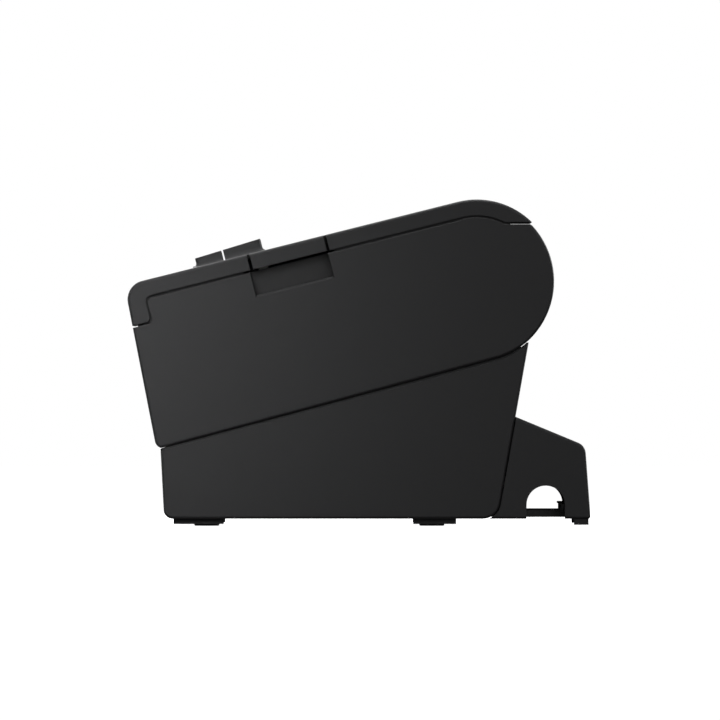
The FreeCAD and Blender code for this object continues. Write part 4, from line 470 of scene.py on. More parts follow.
@dataclass(frozen=True)
class WorkedMetal(Finish):
    """Metal with the lines of its grinding, turning or drawing."""

    lines: Axis = Axis.X
    pitch: float = 0.18
    drawn: float = 0.03
    line_swing: float = 0.25
    depth: float = 0.006
    stain: float = 9.0
    stain_share: float = 0.5
    stain_swing: float = 0.1
    spangle: float = 0.0
    spangle_share: float = 0.4
    tone_band: Band = (0.25, 0.75)
    shades: Band = (0.82, 1.08)

    def fixed(self) -> Sockets:
        """Shader values that are the same all over."""
        return {"Metallic": 1.0}

    def varied(self, tree: ShaderTree) -> Sockets:
        """Fine lines, soft stains and the spangle of a zinc coat.

        Args:
            tree: Tree for its nodes.

        Returns:
            The shader's varied values.
        """
        place = tree.place()
        factors = [self.drawn if axis is self.lines else 1.0 for axis in Axis]
        lines = tree.noise(tree.stretch(place, factors), self.pitch, detail=3.0)
        stain = tree.noise(place, self.stain, detail=3.0)
        tone = lines.blend(stain, self.stain_share)
        if self.spangle:
            tone = tone.blend(tree.cells(place, self.spangle), self.spangle_share)
        dark, light = (tint(self.colour, shade) for shade in self.shades)
        return {
            "Base Color": tree.mix(tone.fade(*self.tone_band), dark, light),
            "Roughness": self.roughness + lines.swing(self.line_swing) + stain.swing(self.stain_swing),
            "Normal": tree.bump(lines, self.depth),
        }


@dataclass(frozen=True)
class SolderMask(Finish):
    """Circuit board: lacquer over copper tracks, with bare pads."""

    track: float = 2.6
    track_stretch: Place = (1.0, 0.45, 0.0)
    track_band: Band = (0.04, 0.09)
    pad: float = 3.4
    pad_stretch: Place = (1.0, 1.0, 0.0)
    pad_reach: float = 0.13
    pad_share: float = 0.4
    pad_metal: float = 0.9
    copper: Colour = (0.55, 0.34, 0.12)
    shades: Band = (0.8, 1.5)
    weave: float = 0.5
    weave_swing: float = 0.1
    depth: float = 0.03

    def varied(self, tree: ShaderTree) -> Sockets:
        """Tracks that show through the lacquer, and round pads.

        Args:
            tree: Tree for its nodes.

        Returns:
            The shader's varied values.
        """
        place = tree.place()
        cells = tree.cells(tree.stretch(place, self.track_stretch), self.track, "DISTANCE_TO_EDGE")
        tracks = 1.0 - cells.fade(*self.track_band)
        pads = tree.cells(tree.stretch(place, self.pad_stretch), self.pad) < self.pad_reach
        weave = tree.noise(place, self.weave)
        dark, light = (tint(self.colour, shade) for shade in self.shades)
        return {
            "Base Color": tree.mix(pads, tree.mix(tracks, dark, light), tint(self.copper)),
            "Metallic": pads * self.pad_metal,
            "Roughness": self.roughness + weave.swing(self.weave_swing),
            "Normal": tree.bump(tracks.blend(pads, self.pad_share), self.depth),
        }


@dataclass(frozen=True)
class StripedFilm(Finish):
    """Flat cable: conductors that show through a pale film."""

    pitch: float = 1.0
    stripe_band: Band = (-0.2, 0.3)
    conductor: Colour = (0.42, 0.36, 0.26)
    crease: float = 4.0
    crease_share: float = 0.3
    crease_swing: float = 0.15
    depth: float = 0.05

    def varied(self, tree: ShaderTree) -> Sockets:
        """Stripes across the printer and soft creases.

        Args:
            tree: Tree for its nodes.

        Returns:
            The shader's varied values.
        """
        place = tree.place()
        stripe = tree.stripes(place, self.pitch).fade(*self.stripe_band)
        crease = tree.noise(place, self.crease)
        return {
            "Base Color": tree.mix(stripe, tint(self.colour), tint(self.conductor)),
            "Roughness": self.roughness + crease.swing(self.crease_swing),
            "Normal": tree.bump(stripe.blend(crease, self.crease_share), self.depth),
        }


@dataclass(frozen=True)
class GlazedCeramic(Finish):
    """Print-head plate: glazed white with a dark row of heating dots."""

    row_z: float = 99.6
    row_height: float = 0.5
    row_colour: Colour = (0.09, 0.06, 0.04)
    dot_pitch: float = 0.5
    dot_band: Band = (-0.3, 0.4)
    dot_share: float = 0.45
    glaze: float = 0.3
    row_glaze: float = 0.6
    cloud: float = 3.0
    cloud_swing: float = 0.1
    depth: float = 0.01

    def fixed(self) -> Sockets:
        """Shader values that are the same all over."""
        return {"Specular IOR Level": 0.6, "Coat Roughness": 0.08}

    def varied(self, tree: ShaderTree) -> Sockets:
        """A dotted dark row under a thicker glaze.

        Args:
            tree: Tree for its nodes.

        Returns:
            The shader's varied values.
        """
        place = tree.place()
        height = tree.along(place, Axis.Z)
        middle = self.row_z * MM
        low, high = middle - self.row_height * MM, middle + self.row_height * MM
        row = height.fade(low, middle) * (1.0 - height.fade(middle, high))
        dots = tree.stripes(place, self.dot_pitch).fade(*self.dot_band)
        mark = row * (1.0 - self.dot_share + dots * self.dot_share)
        cloud = tree.noise(place, self.cloud)
        return {
            "Base Color": tree.mix(mark, tint(self.colour), tint(self.row_colour)),
            "Roughness": self.roughness + cloud.swing(self.cloud_swing),
            "Coat Weight": self.glaze + row * self.row_glaze,
            "Normal": tree.bump(cloud, self.depth),
        }


@dataclass(frozen=True)
class MilkyLens(Finish):
    """Lamp window: clear plastic with a frosted back."""

    frost: float = 0.6
    frost_band: Band = (0.3, 0.7)
    frost_swing: float = 0.15
    shade: float = 0.8
    depth: float = 0.01

    def fixed(self) -> Sockets:
        """Shader values that are the same all over."""
        return {"Specular IOR Level": 0.5, "Transmission Weight": 0.35, "IOR": 1.49}

    def varied(self, tree: ShaderTree) -> Sockets:
        """A fine frost.

        Args:
            tree: Tree for its nodes.

        Returns:
            The shader's varied values.
        """
        frost = tree.noise(tree.place(), self.frost, detail=3.0)
        dark = tint(self.colour, self.shade)
        return {
            "Base Color": tree.mix(frost.fade(*self.frost_band), dark, tint(self.colour)),
            "Roughness": self.roughness + frost.swing(self.frost_swing),
            "Normal": tree.bump(frost, self.depth),
        }


@dataclass(frozen=True)
class PaleFloor(Finish):
    """Studio floor: a white that glows enough to stay pale in shade."""

    light: Colour = (0.82, 0.82, 0.82)
    cloud: float = 90.0
    glow: float = 1.0

    def fixed(self) -> Sockets:
        """Shader values that are the same all over."""
        matte = {"Roughness": self.roughness, "Specular IOR Level": 0.0}
        return {**matte, "Emission Color": WHITE, "Emission Strength": self.glow}

    def varied(self, tree: ShaderTree) -> Sockets:
        """Faint clouds of two whites."""
        cloud = tree.noise(tree.place(), self.cloud)
        return {"Base Color": tree.mix(cloud, tint(self.colour), tint(self.light))}


FINISHES: dict[Slot, Finish] = {
    Slot.CASE: MouldedPlastic((0.030, 0.030, 0.0315), 0.52),
    Slot.INNER: MouldedPlastic((0.012, 0.012, 0.0128), 0.6, grain=0.5, depth=0.015),
    Slot.BUTTON: MouldedPlastic((0.085, 0.085, 0.09), 0.42, grain=0.25, depth=0.006),
    Slot.LENS: MilkyLens((0.24, 0.26, 0.24), 0.22),
    Slot.SOCKET: MouldedPlastic((0.012, 0.012, 0.013), 0.4, grain=0.3, depth=0.008),
    Slot.CHIP: MouldedPlastic((0.014, 0.014, 0.015), 0.5, grain=0.2, depth=0.008),
    Slot.FOOT: SoftRubber((0.022, 0.022, 0.023), 0.8),
    Slot.PLATEN: SoftRubber((0.02, 0.02, 0.021), 0.7, skin=0.15, dust=0.1),
    Slot.BOARD: SolderMask((0.012, 0.085, 0.04), 0.35),
    Slot.RIBBON: StripedFilm((0.34, 0.32, 0.26), 0.4),
    Slot.CERAMIC: GlazedCeramic((0.32, 0.3, 0.26), 0.3),
    Slot.GEAR: MouldedPlastic((0.3, 0.29, 0.26), 0.45, grain=0.6, depth=0.006, contrast=0.05, gloss=0.45),
    Slot.SHEET: WorkedMetal((0.3, 0.3, 0.29), 0.42, spangle=5.0),
    Slot.BLADE: WorkedMetal((0.36, 0.36, 0.36), 0.3, lines=Axis.Y, pitch=0.1),
    Slot.SHAFT: WorkedMetal((0.38, 0.38, 0.38), 0.3, lines=Axis.Y, pitch=0.12),
    Slot.SPRING: WorkedMetal((0.4, 0.4, 0.4), 0.3, pitch=0.1),
    Slot.SCREW: WorkedMetal((0.42, 0.42, 0.43), 0.32, lines=Axis.Z, pitch=0.15),
    Slot.MOTOR: WorkedMetal((0.36, 0.36, 0.36), 0.42, pitch=0.3),
    Slot.SINK: WorkedMetal((0.34, 0.34, 0.345), 0.42, pitch=0.25),
}
GOLD = WorkedMetal((0.72, 0.5, 0.16), 0.24, lines=Axis.Y, pitch=0.1)
FLOOR = PaleFloor((0.78, 0.78, 0.78), 0.9)


def between(first: float, last: float, steps: int) -> list[float]:
    """Evenly spaced values, both ends among them."""
    return [first + (last - first) * i / steps for i in range(steps + 1)]


def whole_turn(sides: int) -> list[float]:
    """Evenly spaced angles round a whole turn, in radians."""
    return between(0.0, math.tau, sides)[:-1]


def spoke(across: Vector, up: Vector, angle: float) -> Vector:
    """Direction at an angle from one direction towards another."""
    return across * math.cos(angle) + up * math.sin(angle)


@dataclass(frozen=True)
class Deck:
    """The printer's sloping top: s runs up it from the front edge, n stands off it."""

    front_y: float = -106.7
    front_z: float = 109.55
    slope: float = 14.05

    def run(self) -> Vector:
        """Direction up the slope."""
        angle = math.radians(self.slope)
        return Vector((0.0, math.cos(angle), math.sin(angle)))

    def normal(self) -> Vector:
        """Direction off the slope."""
        angle = math.radians(self.slope)
        return Vector((0.0, -math.sin(angle), math.cos(angle)))

    def at(self, x: float, s: float, n: float) -> Vector:
        """A point from its place across, up and off the slope."""
        return Vector((x, self.front_y, self.front_z)) + self.run() * s + self.normal() * n


DECK = Deck()


class Skin:
    """The outside of a CAD node, for laying thin marks on it."""

    def __init__(self, node: str) -> None:
        """Reads the node's mesh.

        Args:
            node: Name of the CAD node.
        """
        mesh = frame["nodes"][node].data
        points = [vertex.co.copy() for vertex in mesh.vertices]
        self.tree = BVHTree.FromPolygons(points, [face.vertices[:] for face in mesh.polygons])

    def hit(self, start: Vector, direction: Vector) -> Vector:
        """Where a line meets the skin.

        Args:
            start: Point off the skin, in millimetres.
            direction: Direction of the line.

        Returns:
            The point on the skin, in millimetres, or the start where it is missed.
        """
        found = self.tree.ray_cast(start * MM, direction)[0]
        return start if found is None else found / MM


class Form:
    """Points and faces of one piece, in millimetres, until it becomes a mesh."""

    def __init__(self) -> None:
        """Starts empty."""
        self.points: list[Vector] = []
        self.faces: list[tuple[int, ...]] = []

    def loft(self, rings: Sequence[Sequence[Vector]], closed: bool = False) -> None:
        """Skins a row of rings.

        Args:
            rings: Rings of equal length.
            closed: Joins the last ring to the first; otherwise both ends are capped.
        """
        start = len(self.points)
        count = len(rings[0])
        self.points.extend(point for ring in rings for point in ring)
        pairs = len(rings) if closed else len(rings) - 1
        for i in range(pairs):
            low = start + i * count
            high = start + (i + 1) % len(rings) * count
            for j in range(count):
                k = (j + 1) % count
                self.faces.append((low + j, low + k, high + k, high + j))
        if not closed:
            last = start + (len(rings) - 1) * count
            self.faces.append(tuple(range(start + count - 1, start - 1, -1)))
            self.faces.append(tuple(range(last, last + count)))

    def tube(self, path: Sequence[Vector], radius: float, sides: int = 10, closed: bool = False) -> None:
        """Round bar along a path.

        Args:
            path: Points of its centre line.
            radius: Radius of the bar.
            sides: Faces round it.
            closed: Joins the end to the start.
        """
        rings = []
        across = None
        for i, point in enumerate(path):
            before = path[i - 1] if i or closed else point
            after = path[(i + 1) % len(path)] if closed or i + 1 < len(path) else point
            heading = (after - before).normalized()
            across = heading.orthogonal() if across is None else across - heading * across.dot(heading)
            across.normalize()
            up = heading.cross(across)
            rings.append([point + spoke(across, up, a) * radius for a in whole_turn(sides)])
        self.loft(rings, closed)

    def lathe(self, centre: Vector, axis: Vector, profile: Sequence[Band], sides: int = 48) -> None:
        """Turned shape.

        Args:
            centre: Point on the axis at height zero.
            axis: Direction of the axis.
            profile: Radius and height, from one end of the axis to the other.
            sides: Faces round it.
        """
        across = axis.orthogonal().normalized()
        up = axis.cross(across)
        rim = [spoke(across, up, a) for a in whole_turn(sides)]
        self.loft([[centre + axis * height + way * radius for way in rim] for radius, height in profile])

    def bar(
        self, start: Vector, end: Vector, up: Vector, width: float, height: float, chamfer: float
    ) -> None:
        """Square bar with broken edges.

        Args:
            start: Middle of its first end.
            end: Middle of its last end.
            up: Direction of its height.
            width: Size across.
            height: Size along up.
            chamfer: Size of the broken edges.
        """
        heading = (end - start).normalized()
        across = heading.cross(up).normalized()
        inset = heading * chamfer
        whole = (width, height)
        small = (width - 2 * chamfer, height - 2 * chamfer)
        sections = [(start, small), (start + inset, whole), (end - inset, whole), (end, small)]
        self.loft([self._octagon(centre, across, up, size, chamfer) for centre, size in sections])

    @staticmethod
    def _octagon(centre: Vector, across: Vector, up: Vector, size: Band, cut: float) -> list[Vector]:
        """Section of a bar: a rectangle with its corners cut.

        Args:
            centre: Middle of the section.
            across: Direction of its width.
            up: Direction of its height.
            size: Width and height.
            cut: Size of the cut corners.

        Returns:
            Its eight points.
        """
        a, b = size[0] / 2, size[1] / 2
        corners = [(a, cut - b), (a, b - cut), (a - cut, b), (cut - a, b)]
        corners += [(-a, b - cut), (-a, cut - b), (cut - a, -b), (a - cut, -b)]
        return [centre + across * u + up * v for u, v in corners]

    def mesh(self, name: str) -> bpy.types.Mesh:
        """Turns the form into a mesh in metres.

        Args:
            name: Name of the mesh.

        Returns:
            The mesh, smooth except at sharp edges.
        """
        mesh = bpy.data.meshes.new(name)
        mesh.from_pydata([point * MM for point in self.points], [], self.faces)
        work = bmesh.new()
        work.from_mesh(mesh)
        bmesh.ops.recalc_face_normals(work, faces=work.faces)
        work.to_mesh(mesh)
        work.free()
        mesh.polygons.foreach_set("use_smooth", [True] * len(mesh.polygons))
        mesh.set_sharp_from_angle(angle=math.radians(SHARP_ANGLE))
        return mesh


class Paintbox:
    """The materials of the printer, one for each slot."""

    def __init__(self) -> None:
        """Builds every finish."""
        self.paints = {slot: finish.material(slot.value) for slot, finish in FINISHES.items()}
        self.gold = GOLD.material("contact_gold")

    def dress_nodes(self) -> None:
        """Gives every CAD node the material of its slot."""
        for subpart in frame["record"]["subparts"]:
            slot = Slot(subpart["material_slot"])
            materials = frame["nodes"][subpart["node"]].data.materials
            materials.clear()
            materials.append(self.paints[slot])
            LOG.info("dressed %s in %s", subpart["node"], slot.value)


@dataclass
class Assembly:
    """What every sub-assembly has: the paints and a way to add its pieces.

    The sizes of a sub-assembly are in millimetres and its angles in degrees.
    """

    paintbox: Paintbox

    def add_piece(
        self,
        form: Form,
        name: str,
        body: str,
        slot: Slot,
        replaced: Sequence[str] = (),
        gold: bool = False,
    ) -> None:
        """Makes a form a piece of the printer.

        Args:
            form: Its shape.
            name: Its name.
            body: The CAD body that it rides on.
            slot: The material slot that it belongs to.
            replaced: CAD nodes that it stands for.
            gold: Takes the gold of the contacts instead of the slot's finish.
        """
        piece = bpy.data.objects.new(name, form.mesh(name))
        bpy.context.scene.collection.objects.link(piece)
        piece.data.materials.append(self.paintbox.gold if gold else self.paintbox.paints[slot])
        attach(piece, body)
        if replaced:
            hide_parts(*replaced)
        LOG.info("built %s on %s", name, body)

    def build(self) -> None:
        """Builds the pieces of the sub-assembly."""
        raise NotImplementedError


@dataclass
class ControlPanel(Assembly):
    """Dished feed button and framed lamp windows beside the paper exit.

    The rim's points are an inset from the button's edge and a rise over its top; the dish's points
    are a share of its radius and a rise.
    """

    middle_x: float = -59.5
    button_at: float = 36.0
    button_radius: float = 4.6
    button_top: float = 0.9
    button_sides: int = 64
    dish_inset: float = 0.05
    dish_sunk: float = 0.5
    rim: tuple[Band, ...] = ((0.0, 0.12), (0.12, 0.34), (0.4, 0.45), (0.8, 0.4))
    dish: tuple[Band, ...] = ((0.55, 0.17), (0.25, 0.07))
    dish_floor: float = 0.05
    collar_radius: float = 5.15
    lens_at: float = 14.0
    lens_pitch: float = 5.5
    lens_length: float = 2.4
    lens_width: float = 6.0
    lens_count: int = 3
    frame_corner: float = 0.7
    corner_steps: int = 6
    bead: float = 0.26

    def build(self) -> None:
        """Builds the button's dish and collar and the frames of the lamps."""
        self.feed_dish()
        self.button_collar()
        self.lens_frames()

    def feed_dish(self) -> None:
        """A dished face on the feed button."""
        form = Form()
        edge = self.button_radius - self.dish_inset
        top = self.button_top
        low = top - self.dish_sunk
        profile = [(AXIS_RADIUS, low), (edge, low)]
        profile += [(edge - inset, top + rise) for inset, rise in self.rim]
        profile += [(edge * share, top + rise) for share, rise in self.dish]
        profile.append((AXIS_RADIUS, top + self.dish_floor))
        centre = DECK.at(self.middle_x, self.button_at, 0.0)
        form.lathe(centre, DECK.normal(), profile, self.button_sides)
        self.add_piece(form, "feed_dish", "feed_button", Slot.BUTTON)

    def button_collar(self) -> None:
        """A raised bead round the feed button's hole."""
        form = Form()
        radius = self.collar_radius
        path = [
            DECK.at(self.middle_x + radius * math.cos(a), self.button_at + radius * math.sin(a), 0.0)
            for a in whole_turn(self.button_sides)
        ]
        form.tube(path, self.bead, closed=True)
        self.add_piece(form, "button_collar", "base", Slot.CASE)

    def lens_frames(self) -> None:
        """A raised bead round each lamp window."""
        form = Form()
        half_x = self.lens_width / 2 + self.bead
        half_s = self.lens_length / 2 + self.bead
        for i in range(self.lens_count):
            s = self.lens_at + i * self.lens_pitch
            form.tube(self.rounded_loop(s, half_x, half_s), self.bead, closed=True)
        self.add_piece(form, "lens_frames", "base", Slot.INNER)

    def rounded_loop(self, s: float, half_x: float, half_s: float) -> list[Vector]:
        """Rectangle with round corners on the deck.

        Args:
            s: Its middle along the slope.
            half_x: Half its width.
            half_s: Half its length.

        Returns:
            The points of the loop.
        """
        path = []
        corner = self.frame_corner
        for quarter, (u, v) in enumerate([(1, 1), (-1, 1), (-1, -1), (1, -1)]):
            for share in between(0.0, 1.0, self.corner_steps):
                angle = math.pi / 2 * (quarter + share)
                x = u * (half_x - corner) + corner * math.cos(angle)
                run = v * (half_s - corner) + corner * math.sin(angle)
                path.append(DECK.at(self.middle_x + x, s + run, 0.0))
        return path


@dataclass
class FingerRecess(Assembly):
    """Softened lower edge of the finger recess under the release lever."""

    start: float = 57.2
    end: float = 93.0
    floor_n: float = -19.8
    edge_x: float = 71.55
    bead: float = 0.9
    bead_sides: int = 16
    sunk: float = 0.2

    def build(self) -> None:
        """Builds the bead along the edge."""
        form = Form()
        low = self.floor_n - self.sunk
        path = [DECK.at(self.edge_x, s, low) for s in (self.start, self.end)]
        form.tube(path, self.bead, self.bead_sides)
        self.add_piece(form, "recess_edge", "base", Slot.CASE)


@dataclass
class CaseSeam(Assembly):
    """Sealing strips that close the seam between the cases at the front and rear."""

    half: float = 70.8
    front: Band = (-89.1, 34.85)
    front_angle: float = 15.0
    rear: Band = (75.2, 83.9)
    rear_angle: float = 42.0
    width: float = 2.4
    height: float = 1.1
    chamfer: float = 0.3

    def build(self) -> None:
        """Builds the two strips, each across the printer."""
        form = Form()
        for (y, z), angle in ((self.front, self.front_angle), (self.rear, self.rear_angle)):
            lean = math.radians(angle)
            up = Vector((0.0, -math.sin(lean), math.cos(lean)))
            left, right = (Vector((side * self.half, y, z)) for side in (-1, 1))
            form.bar(left, right, up, self.width, self.height, self.chamfer)
        self.add_piece(form, "seam_seals", "base", Slot.INNER)


@dataclass
class PowerSwitch(Assembly):
    """Moulded marks on the rocker: a bar for on and a ring for off."""

    middle_x: float = -45.0
    before_y: float = -100.0
    bar_low: float = 20.1
    bar_high: float = 22.0
    bar_steps: int = 6
    ring_z: float = 17.2
    ring_radius: float = 0.85
    ring_sides: int = 28
    bead: float = 0.2

    def build(self) -> None:
        """Builds the marks along the rocker's curved face."""
        skin = Skin("power_rocker")
        form = Form()
        heights = between(self.bar_low, self.bar_high, self.bar_steps)
        form.tube([self.on_face(skin, 0.0, z) for z in heights], self.bead)
        radius = self.ring_radius
        ring = [
            self.on_face(skin, radius * math.cos(a), self.ring_z + radius * math.sin(a))
            for a in whole_turn(self.ring_sides)
        ]
        form.tube(ring, self.bead, closed=True)
        self.add_piece(form, "rocker_marks", "power_rocker", Slot.GEAR)

    def on_face(self, skin: Skin, across: float, z: float) -> Vector:
        """The point of the rocker's face at a place across and a height."""
        return skin.hit(Vector((self.middle_x + across, self.before_y, z)), REARWARD)


@dataclass
class PrintMechanism(Assembly):
    """Coil springs behind the print head and on the lever's shaft."""

    head_x: float = 24.0
    head_start: float = 34.2
    head_length: float = 2.2
    head_n: float = -20.5
    head_radius: float = 2.15
    head_turns: float = 3.5
    lever_s: float = 63.2
    lever_n: float = -4.9
    lever_start: float = 51.3
    lever_length: float = 4.9
    lever_radius: float = 1.93
    lever_turns: float = 7.25
    wire: float = 0.24
    wire_sides: int = 8
    turn_steps: int = 28

    def build(self) -> None:
        """Builds the springs of the print head and the lever."""
        self.head_coils()
        self.lever_coil()

    def coil(
        self, form: Form, start: Vector, axis: Vector, length: float, radius: float, turns: float
    ) -> None:
        """Adds a helix of spring wire.

        Args:
            form: Form to add to.
            start: Start of its axis.
            axis: Direction of its axis.
            length: Length between the middles of its end turns.
            radius: Radius of the wire's middle.
            turns: Number of turns.
        """
        across = axis.orthogonal().normalized()
        up = axis.cross(across)
        path = []
        for share in between(0.0, 1.0, int(turns * self.turn_steps)):
            angle = math.tau * turns * share
            path.append(start + axis * (length * share) + spoke(across, up, angle) * radius)
        form.tube(path, self.wire, self.wire_sides)

    def head_coils(self) -> None:
        """The two springs that press the print head on the platen."""
        form = Form()
        length = self.head_length - 2 * self.wire
        for x in (-self.head_x, self.head_x):
            start = DECK.at(x, self.head_start + self.wire, self.head_n)
            self.coil(form, start, DECK.run(), length, self.head_radius, self.head_turns)
        self.add_piece(form, "head_coils", "base", Slot.SPRING, ["head_springs"])

    def lever_coil(self) -> None:
        """The spring that brings the release lever back."""
        form = Form()
        start = DECK.at(self.lever_start, self.lever_s, self.lever_n)
        self.coil(form, start, ACROSS, self.lever_length, self.lever_radius, self.lever_turns)
        self.add_piece(form, "lever_coil", "base", Slot.SPRING, ["lever_spring"])


@dataclass
class PaperBucket(Assembly):
    """Runners that carry the paper roll in the bucket."""

    middle_y: float = 32.3
    middle_z: float = 98.5
    radius: float = 41.5
    runners: tuple[float, ...] = (-30.0, -10.0, 10.0, 30.0)
    first: float = 205.0
    last: float = 335.0
    steps: int = 48
    bead: float = 0.8

    def build(self) -> None:
        """Builds the runners, each an arc along the bucket's floor."""
        form = Form()
        y, z, r = self.middle_y, self.middle_z, self.radius
        angles = [math.radians(angle) for angle in between(self.first, self.last, self.steps)]
        for x in self.runners:
            form.tube([Vector((x, y + r * math.cos(a), z + r * math.sin(a))) for a in angles], self.bead)
        self.add_piece(form, "roll_runners", "base", Slot.INNER)


@dataclass
class RollCover(Assembly):
    """Stiffening ribs under the roll cover."""

    ribs: tuple[float, ...] = (-30.0, 0.0, 30.0)
    start: float = 72.0
    end: float = 152.0
    wall: float = 2.2
    depth: float = 2.6
    thick: float = 1.2
    sunk: float = 0.2
    chamfer: float = 0.25

    def build(self) -> None:
        """Builds the ribs, each rooted in the cover's wall."""
        form = Form()
        n = self.sunk - self.wall - self.depth / 2
        for x in self.ribs:
            start, end = (DECK.at(x, s, n) for s in (self.start, self.end))
            form.bar(start, end, DECK.normal(), self.thick, self.depth, self.chamfer)
        self.add_piece(form, "cover_ribs", "roll_cover", Slot.CASE)


@dataclass
class Connectors(Assembly):
    """Sprung contacts inside the network and drawer sockets."""

    network_x: float = -10.0
    network_count: int = 8
    drawer_x: float = 10.0
    drawer_count: int = 6
    pitch: float = 1.02
    mouth_y: float = 65.5
    bend_y: float = 58.0
    bend_half: float = 1.0
    end_y: float = 54.0
    floor_z: float = 13.0
    crest_z: float = 16.6
    mouth_dip: float = 0.4
    end_dip: float = 0.3
    end_rise: float = 1.0
    wire: float = 0.2
    wire_sides: int = 8

    def build(self) -> None:
        """Builds the two rows of bent wires."""
        form = Form()
        side = [
            (self.mouth_y, self.floor_z),
            (self.bend_y + self.bend_half, self.crest_z - self.mouth_dip),
            (self.bend_y, self.crest_z),
            (self.bend_y - self.bend_half, self.crest_z - self.end_dip),
            (self.end_y, self.floor_z + self.end_rise),
        ]
        for middle, count in ((self.network_x, self.network_count), (self.drawer_x, self.drawer_count)):
            for i in range(count):
                x = middle + (i - (count - 1) / 2) * self.pitch
                form.tube([Vector((x, y, z)) for y, z in side], self.wire, self.wire_sides)
        self.add_piece(form, "socket_contacts", "base", Slot.SHEET, gold=True)


@dataclass
class ConnectorCover(Assembly):
    """Small snap hooks inside the cheeks, beside the cable arches."""

    cheek_x: float = 69.4
    reach: float = 3.2
    front_y: float = 91.7
    rear_y: float = 94.2
    low_z: float = 6.9
    high_z: float = 10.6
    nose_forward: float = 0.6
    nose_height: float = 1.0
    chamfer: float = 0.3

    def build(self) -> None:
        """Builds a hook on each cheek: a stem and the nose at its top."""
        form = Form()
        width = self.rear_y - self.front_y
        height = self.high_z - self.low_z
        middle = Vector((0.0, (self.front_y + self.rear_y) / 2, (self.low_z + self.high_z) / 2))
        nose = Vector((0.0, -self.nose_forward, (height - self.nose_height) / 2))
        for side in (-1, 1):
            outer = middle + ACROSS * (side * self.cheek_x)
            inner = middle + ACROSS * (side * (self.cheek_x - self.reach))
            form.bar(outer, inner, UPWARD, width, height, self.chamfer)
            form.bar(outer + nose, inner + nose, UPWARD, width, self.nose_height, self.chamfer)
        self.add_piece(form, "arch_hooks", "connector_cover", Slot.INNER)


@dataclass
class Feet(Assembly):
    """Rubber pads with a hollow underside.

    The hollow's points are a share of the pad's radius and a share of the hollow's depth.
    """

    foot_x: float = 58.0
    foot_y: tuple[float, ...] = (-69.3, 33.2)
    radius: float = 5.7
    height: float = 1.8
    bevel: float = 0.5
    bevel_round: float = 0.3
    depth: float = 0.35
    hollow: tuple[Band, ...] = ((0.5, 1.0), (0.56, 0.8), (0.64, 0.0))

    def build(self) -> None:
        """Builds the four pads."""
        form = Form()
        r, b, eased = self.radius, self.bevel, self.bevel * self.bevel_round
        profile = [(AXIS_RADIUS, self.depth)]
        profile += [(r * out, self.depth * up) for out, up in self.hollow]
        profile += [(r - b, 0.0), (r - eased, eased), (r, b)]
        profile += [(r, self.height), (AXIS_RADIUS, self.height)]
        for x in (-self.foot_x, self.foot_x):
            for y in self.foot_y:
                form.lathe(Vector((x, y, 0.0)), UPWARD, profile)
        self.add_piece(form, "foot_pads", "base", Slot.FOOT, ["rubber_feet"])


@dataclass(frozen=True)
class SoftLight:
    """A square studio light that is aimed at a point, in metres, watts and degrees."""

    name: str
    place: Place
    target: Place
    size: float
    watts: float
    spread: float = 180.0

    def build(self) -> None:
        """Adds the light to the scene, unseen by the camera."""
        lamp = bpy.data.lights.new(self.name, "AREA")
        lamp.shape = "SQUARE"
        lamp.size = self.size
        lamp.energy = self.watts
        lamp.spread = math.radians(self.spread)
        light = bpy.data.objects.new(self.name, lamp)
        heading = Vector(self.target) - Vector(self.place)
        turn = heading.to_track_quat("-Z", "Y").to_matrix().to_4x4()
        light.matrix_world = Matrix.Translation(self.place) @ turn
        light.visible_camera = False
        bpy.context.scene.collection.objects.link(light)
        LOG.info("lit %s", self.name)


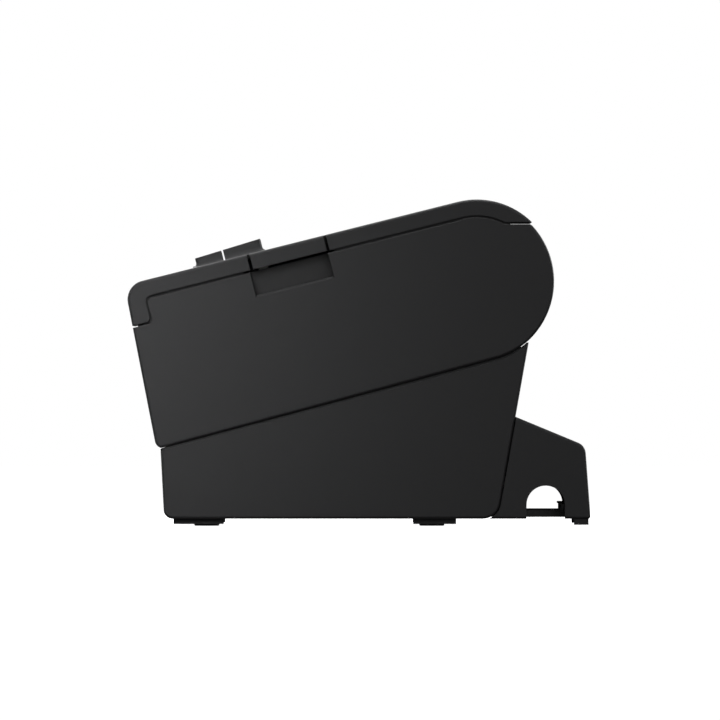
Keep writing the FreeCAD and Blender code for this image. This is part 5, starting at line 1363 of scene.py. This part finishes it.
@dataclass
class Studio:
    """Pale floor, soft lights, white surround and the camera, in metres."""

    lights: tuple[SoftLight, ...] = (
        SoftLight("key_light", (0.50, -0.18, 0.22), (0.07, -0.165, 0.085), 0.20, 0.11, 50.0),
        SoftLight("top_light", (-0.25, 0.0, 0.80), (0.0, 0.0, 0.1), 0.6, 2.5),
        SoftLight("edge_light", (0.20, 0.0, 0.80), (0.0, 0.0, 0.1), 0.4, 3.0),
        SoftLight("side_fill", (1.6, 0.45, 0.30), (0.07, 0.05, 0.06), 0.8, 3.6),
        SoftLight("left_fill", (-0.6, -0.3, 0.4), (0.0, 0.0, 0.07), 0.5, 4.0),
        SoftLight("rear_fill", (-0.35, 0.8, 0.35), (0.0, 0.0, 0.07), 0.5, 6.0),
        SoftLight("front_fill", (-0.25, -0.9, 0.35), (0.0, 0.0, 0.07), 0.5, 4.0),
    )
    floor_half: float = 6.0
    floor_drop: float = 0.0002
    surround: float = 0.05
    lens_mm: float = 1200.0
    sensor_mm: float = 36.0
    sight: float = 100.0
    frame_width: float = 0.3276
    face_x: float = CAD_BOUNDS[1][0]
    camera_y: float = 0.0005
    camera_z: float = 0.0755

    def build(self) -> None:
        """Builds the floor, the lights, the surround and the camera."""
        self.floor()
        for light in self.lights:
            light.build()
        self.backdrop()
        self.camera()
        bpy.context.scene.view_settings.view_transform = "Standard"

    def floor(self) -> None:
        """A plain pale floor under the feet."""
        half = self.floor_half
        mesh = bpy.data.meshes.new("floor")
        corners = [(-half, -half, 0.0), (half, -half, 0.0), (half, half, 0.0), (-half, half, 0.0)]
        mesh.from_pydata(corners, [], [(0, 1, 2, 3)])
        mesh.materials.append(FLOOR.material("pale_floor"))
        floor = bpy.data.objects.new("floor", mesh)
        floor.location.z = -self.floor_drop
        floor.visible_diffuse = False
        floor.visible_glossy = False
        bpy.context.scene.collection.objects.link(floor)

    def backdrop(self) -> None:
        """White behind the printer and a dim even light round it."""
        world = bpy.data.worlds.new("studio")
        world.use_nodes = True
        bpy.context.scene.world = world
        tree = ShaderTree(world.node_tree)
        seen = tree.add("ShaderNodeLightPath", {}, {}, "Is Camera Ray")
        strength = self.surround + seen * (1.0 - self.surround)
        glow = tree.add("ShaderNodeBackground", {}, {"Color": WHITE, "Strength": strength})
        tree.close(glow, "ShaderNodeOutputWorld")

    def camera(self) -> None:
        """A long lens square on to the printer's side, as in the photograph."""
        data = bpy.data.cameras.new("camera")
        data.lens = self.lens_mm
        data.sensor_width = self.sensor_mm
        data.clip_end = self.sight
        camera = bpy.data.objects.new("camera", data)
        distance = self.frame_width * self.lens_mm / self.sensor_mm
        camera.location = (self.face_x + distance, self.camera_y, self.camera_z)
        camera.rotation_euler = (math.pi / 2, 0.0, math.pi / 2)
        bpy.context.scene.collection.objects.link(camera)
        bpy.context.scene.camera = camera


def main() -> None:
    """Dresses the nodes, builds the pieces and sets the studio."""
    logging.basicConfig(level=logging.INFO, format="%(message)s")
    paintbox = Paintbox()
    paintbox.dress_nodes()
    kinds = (
        ControlPanel,
        FingerRecess,
        CaseSeam,
        PowerSwitch,
        PrintMechanism,
        PaperBucket,
        RollCover,
        Connectors,
        ConnectorCover,
        Feet,
    )
    for kind in kinds:
        kind(paintbox).build()
    Studio().build()


if __name__ == "__main__":
    main()
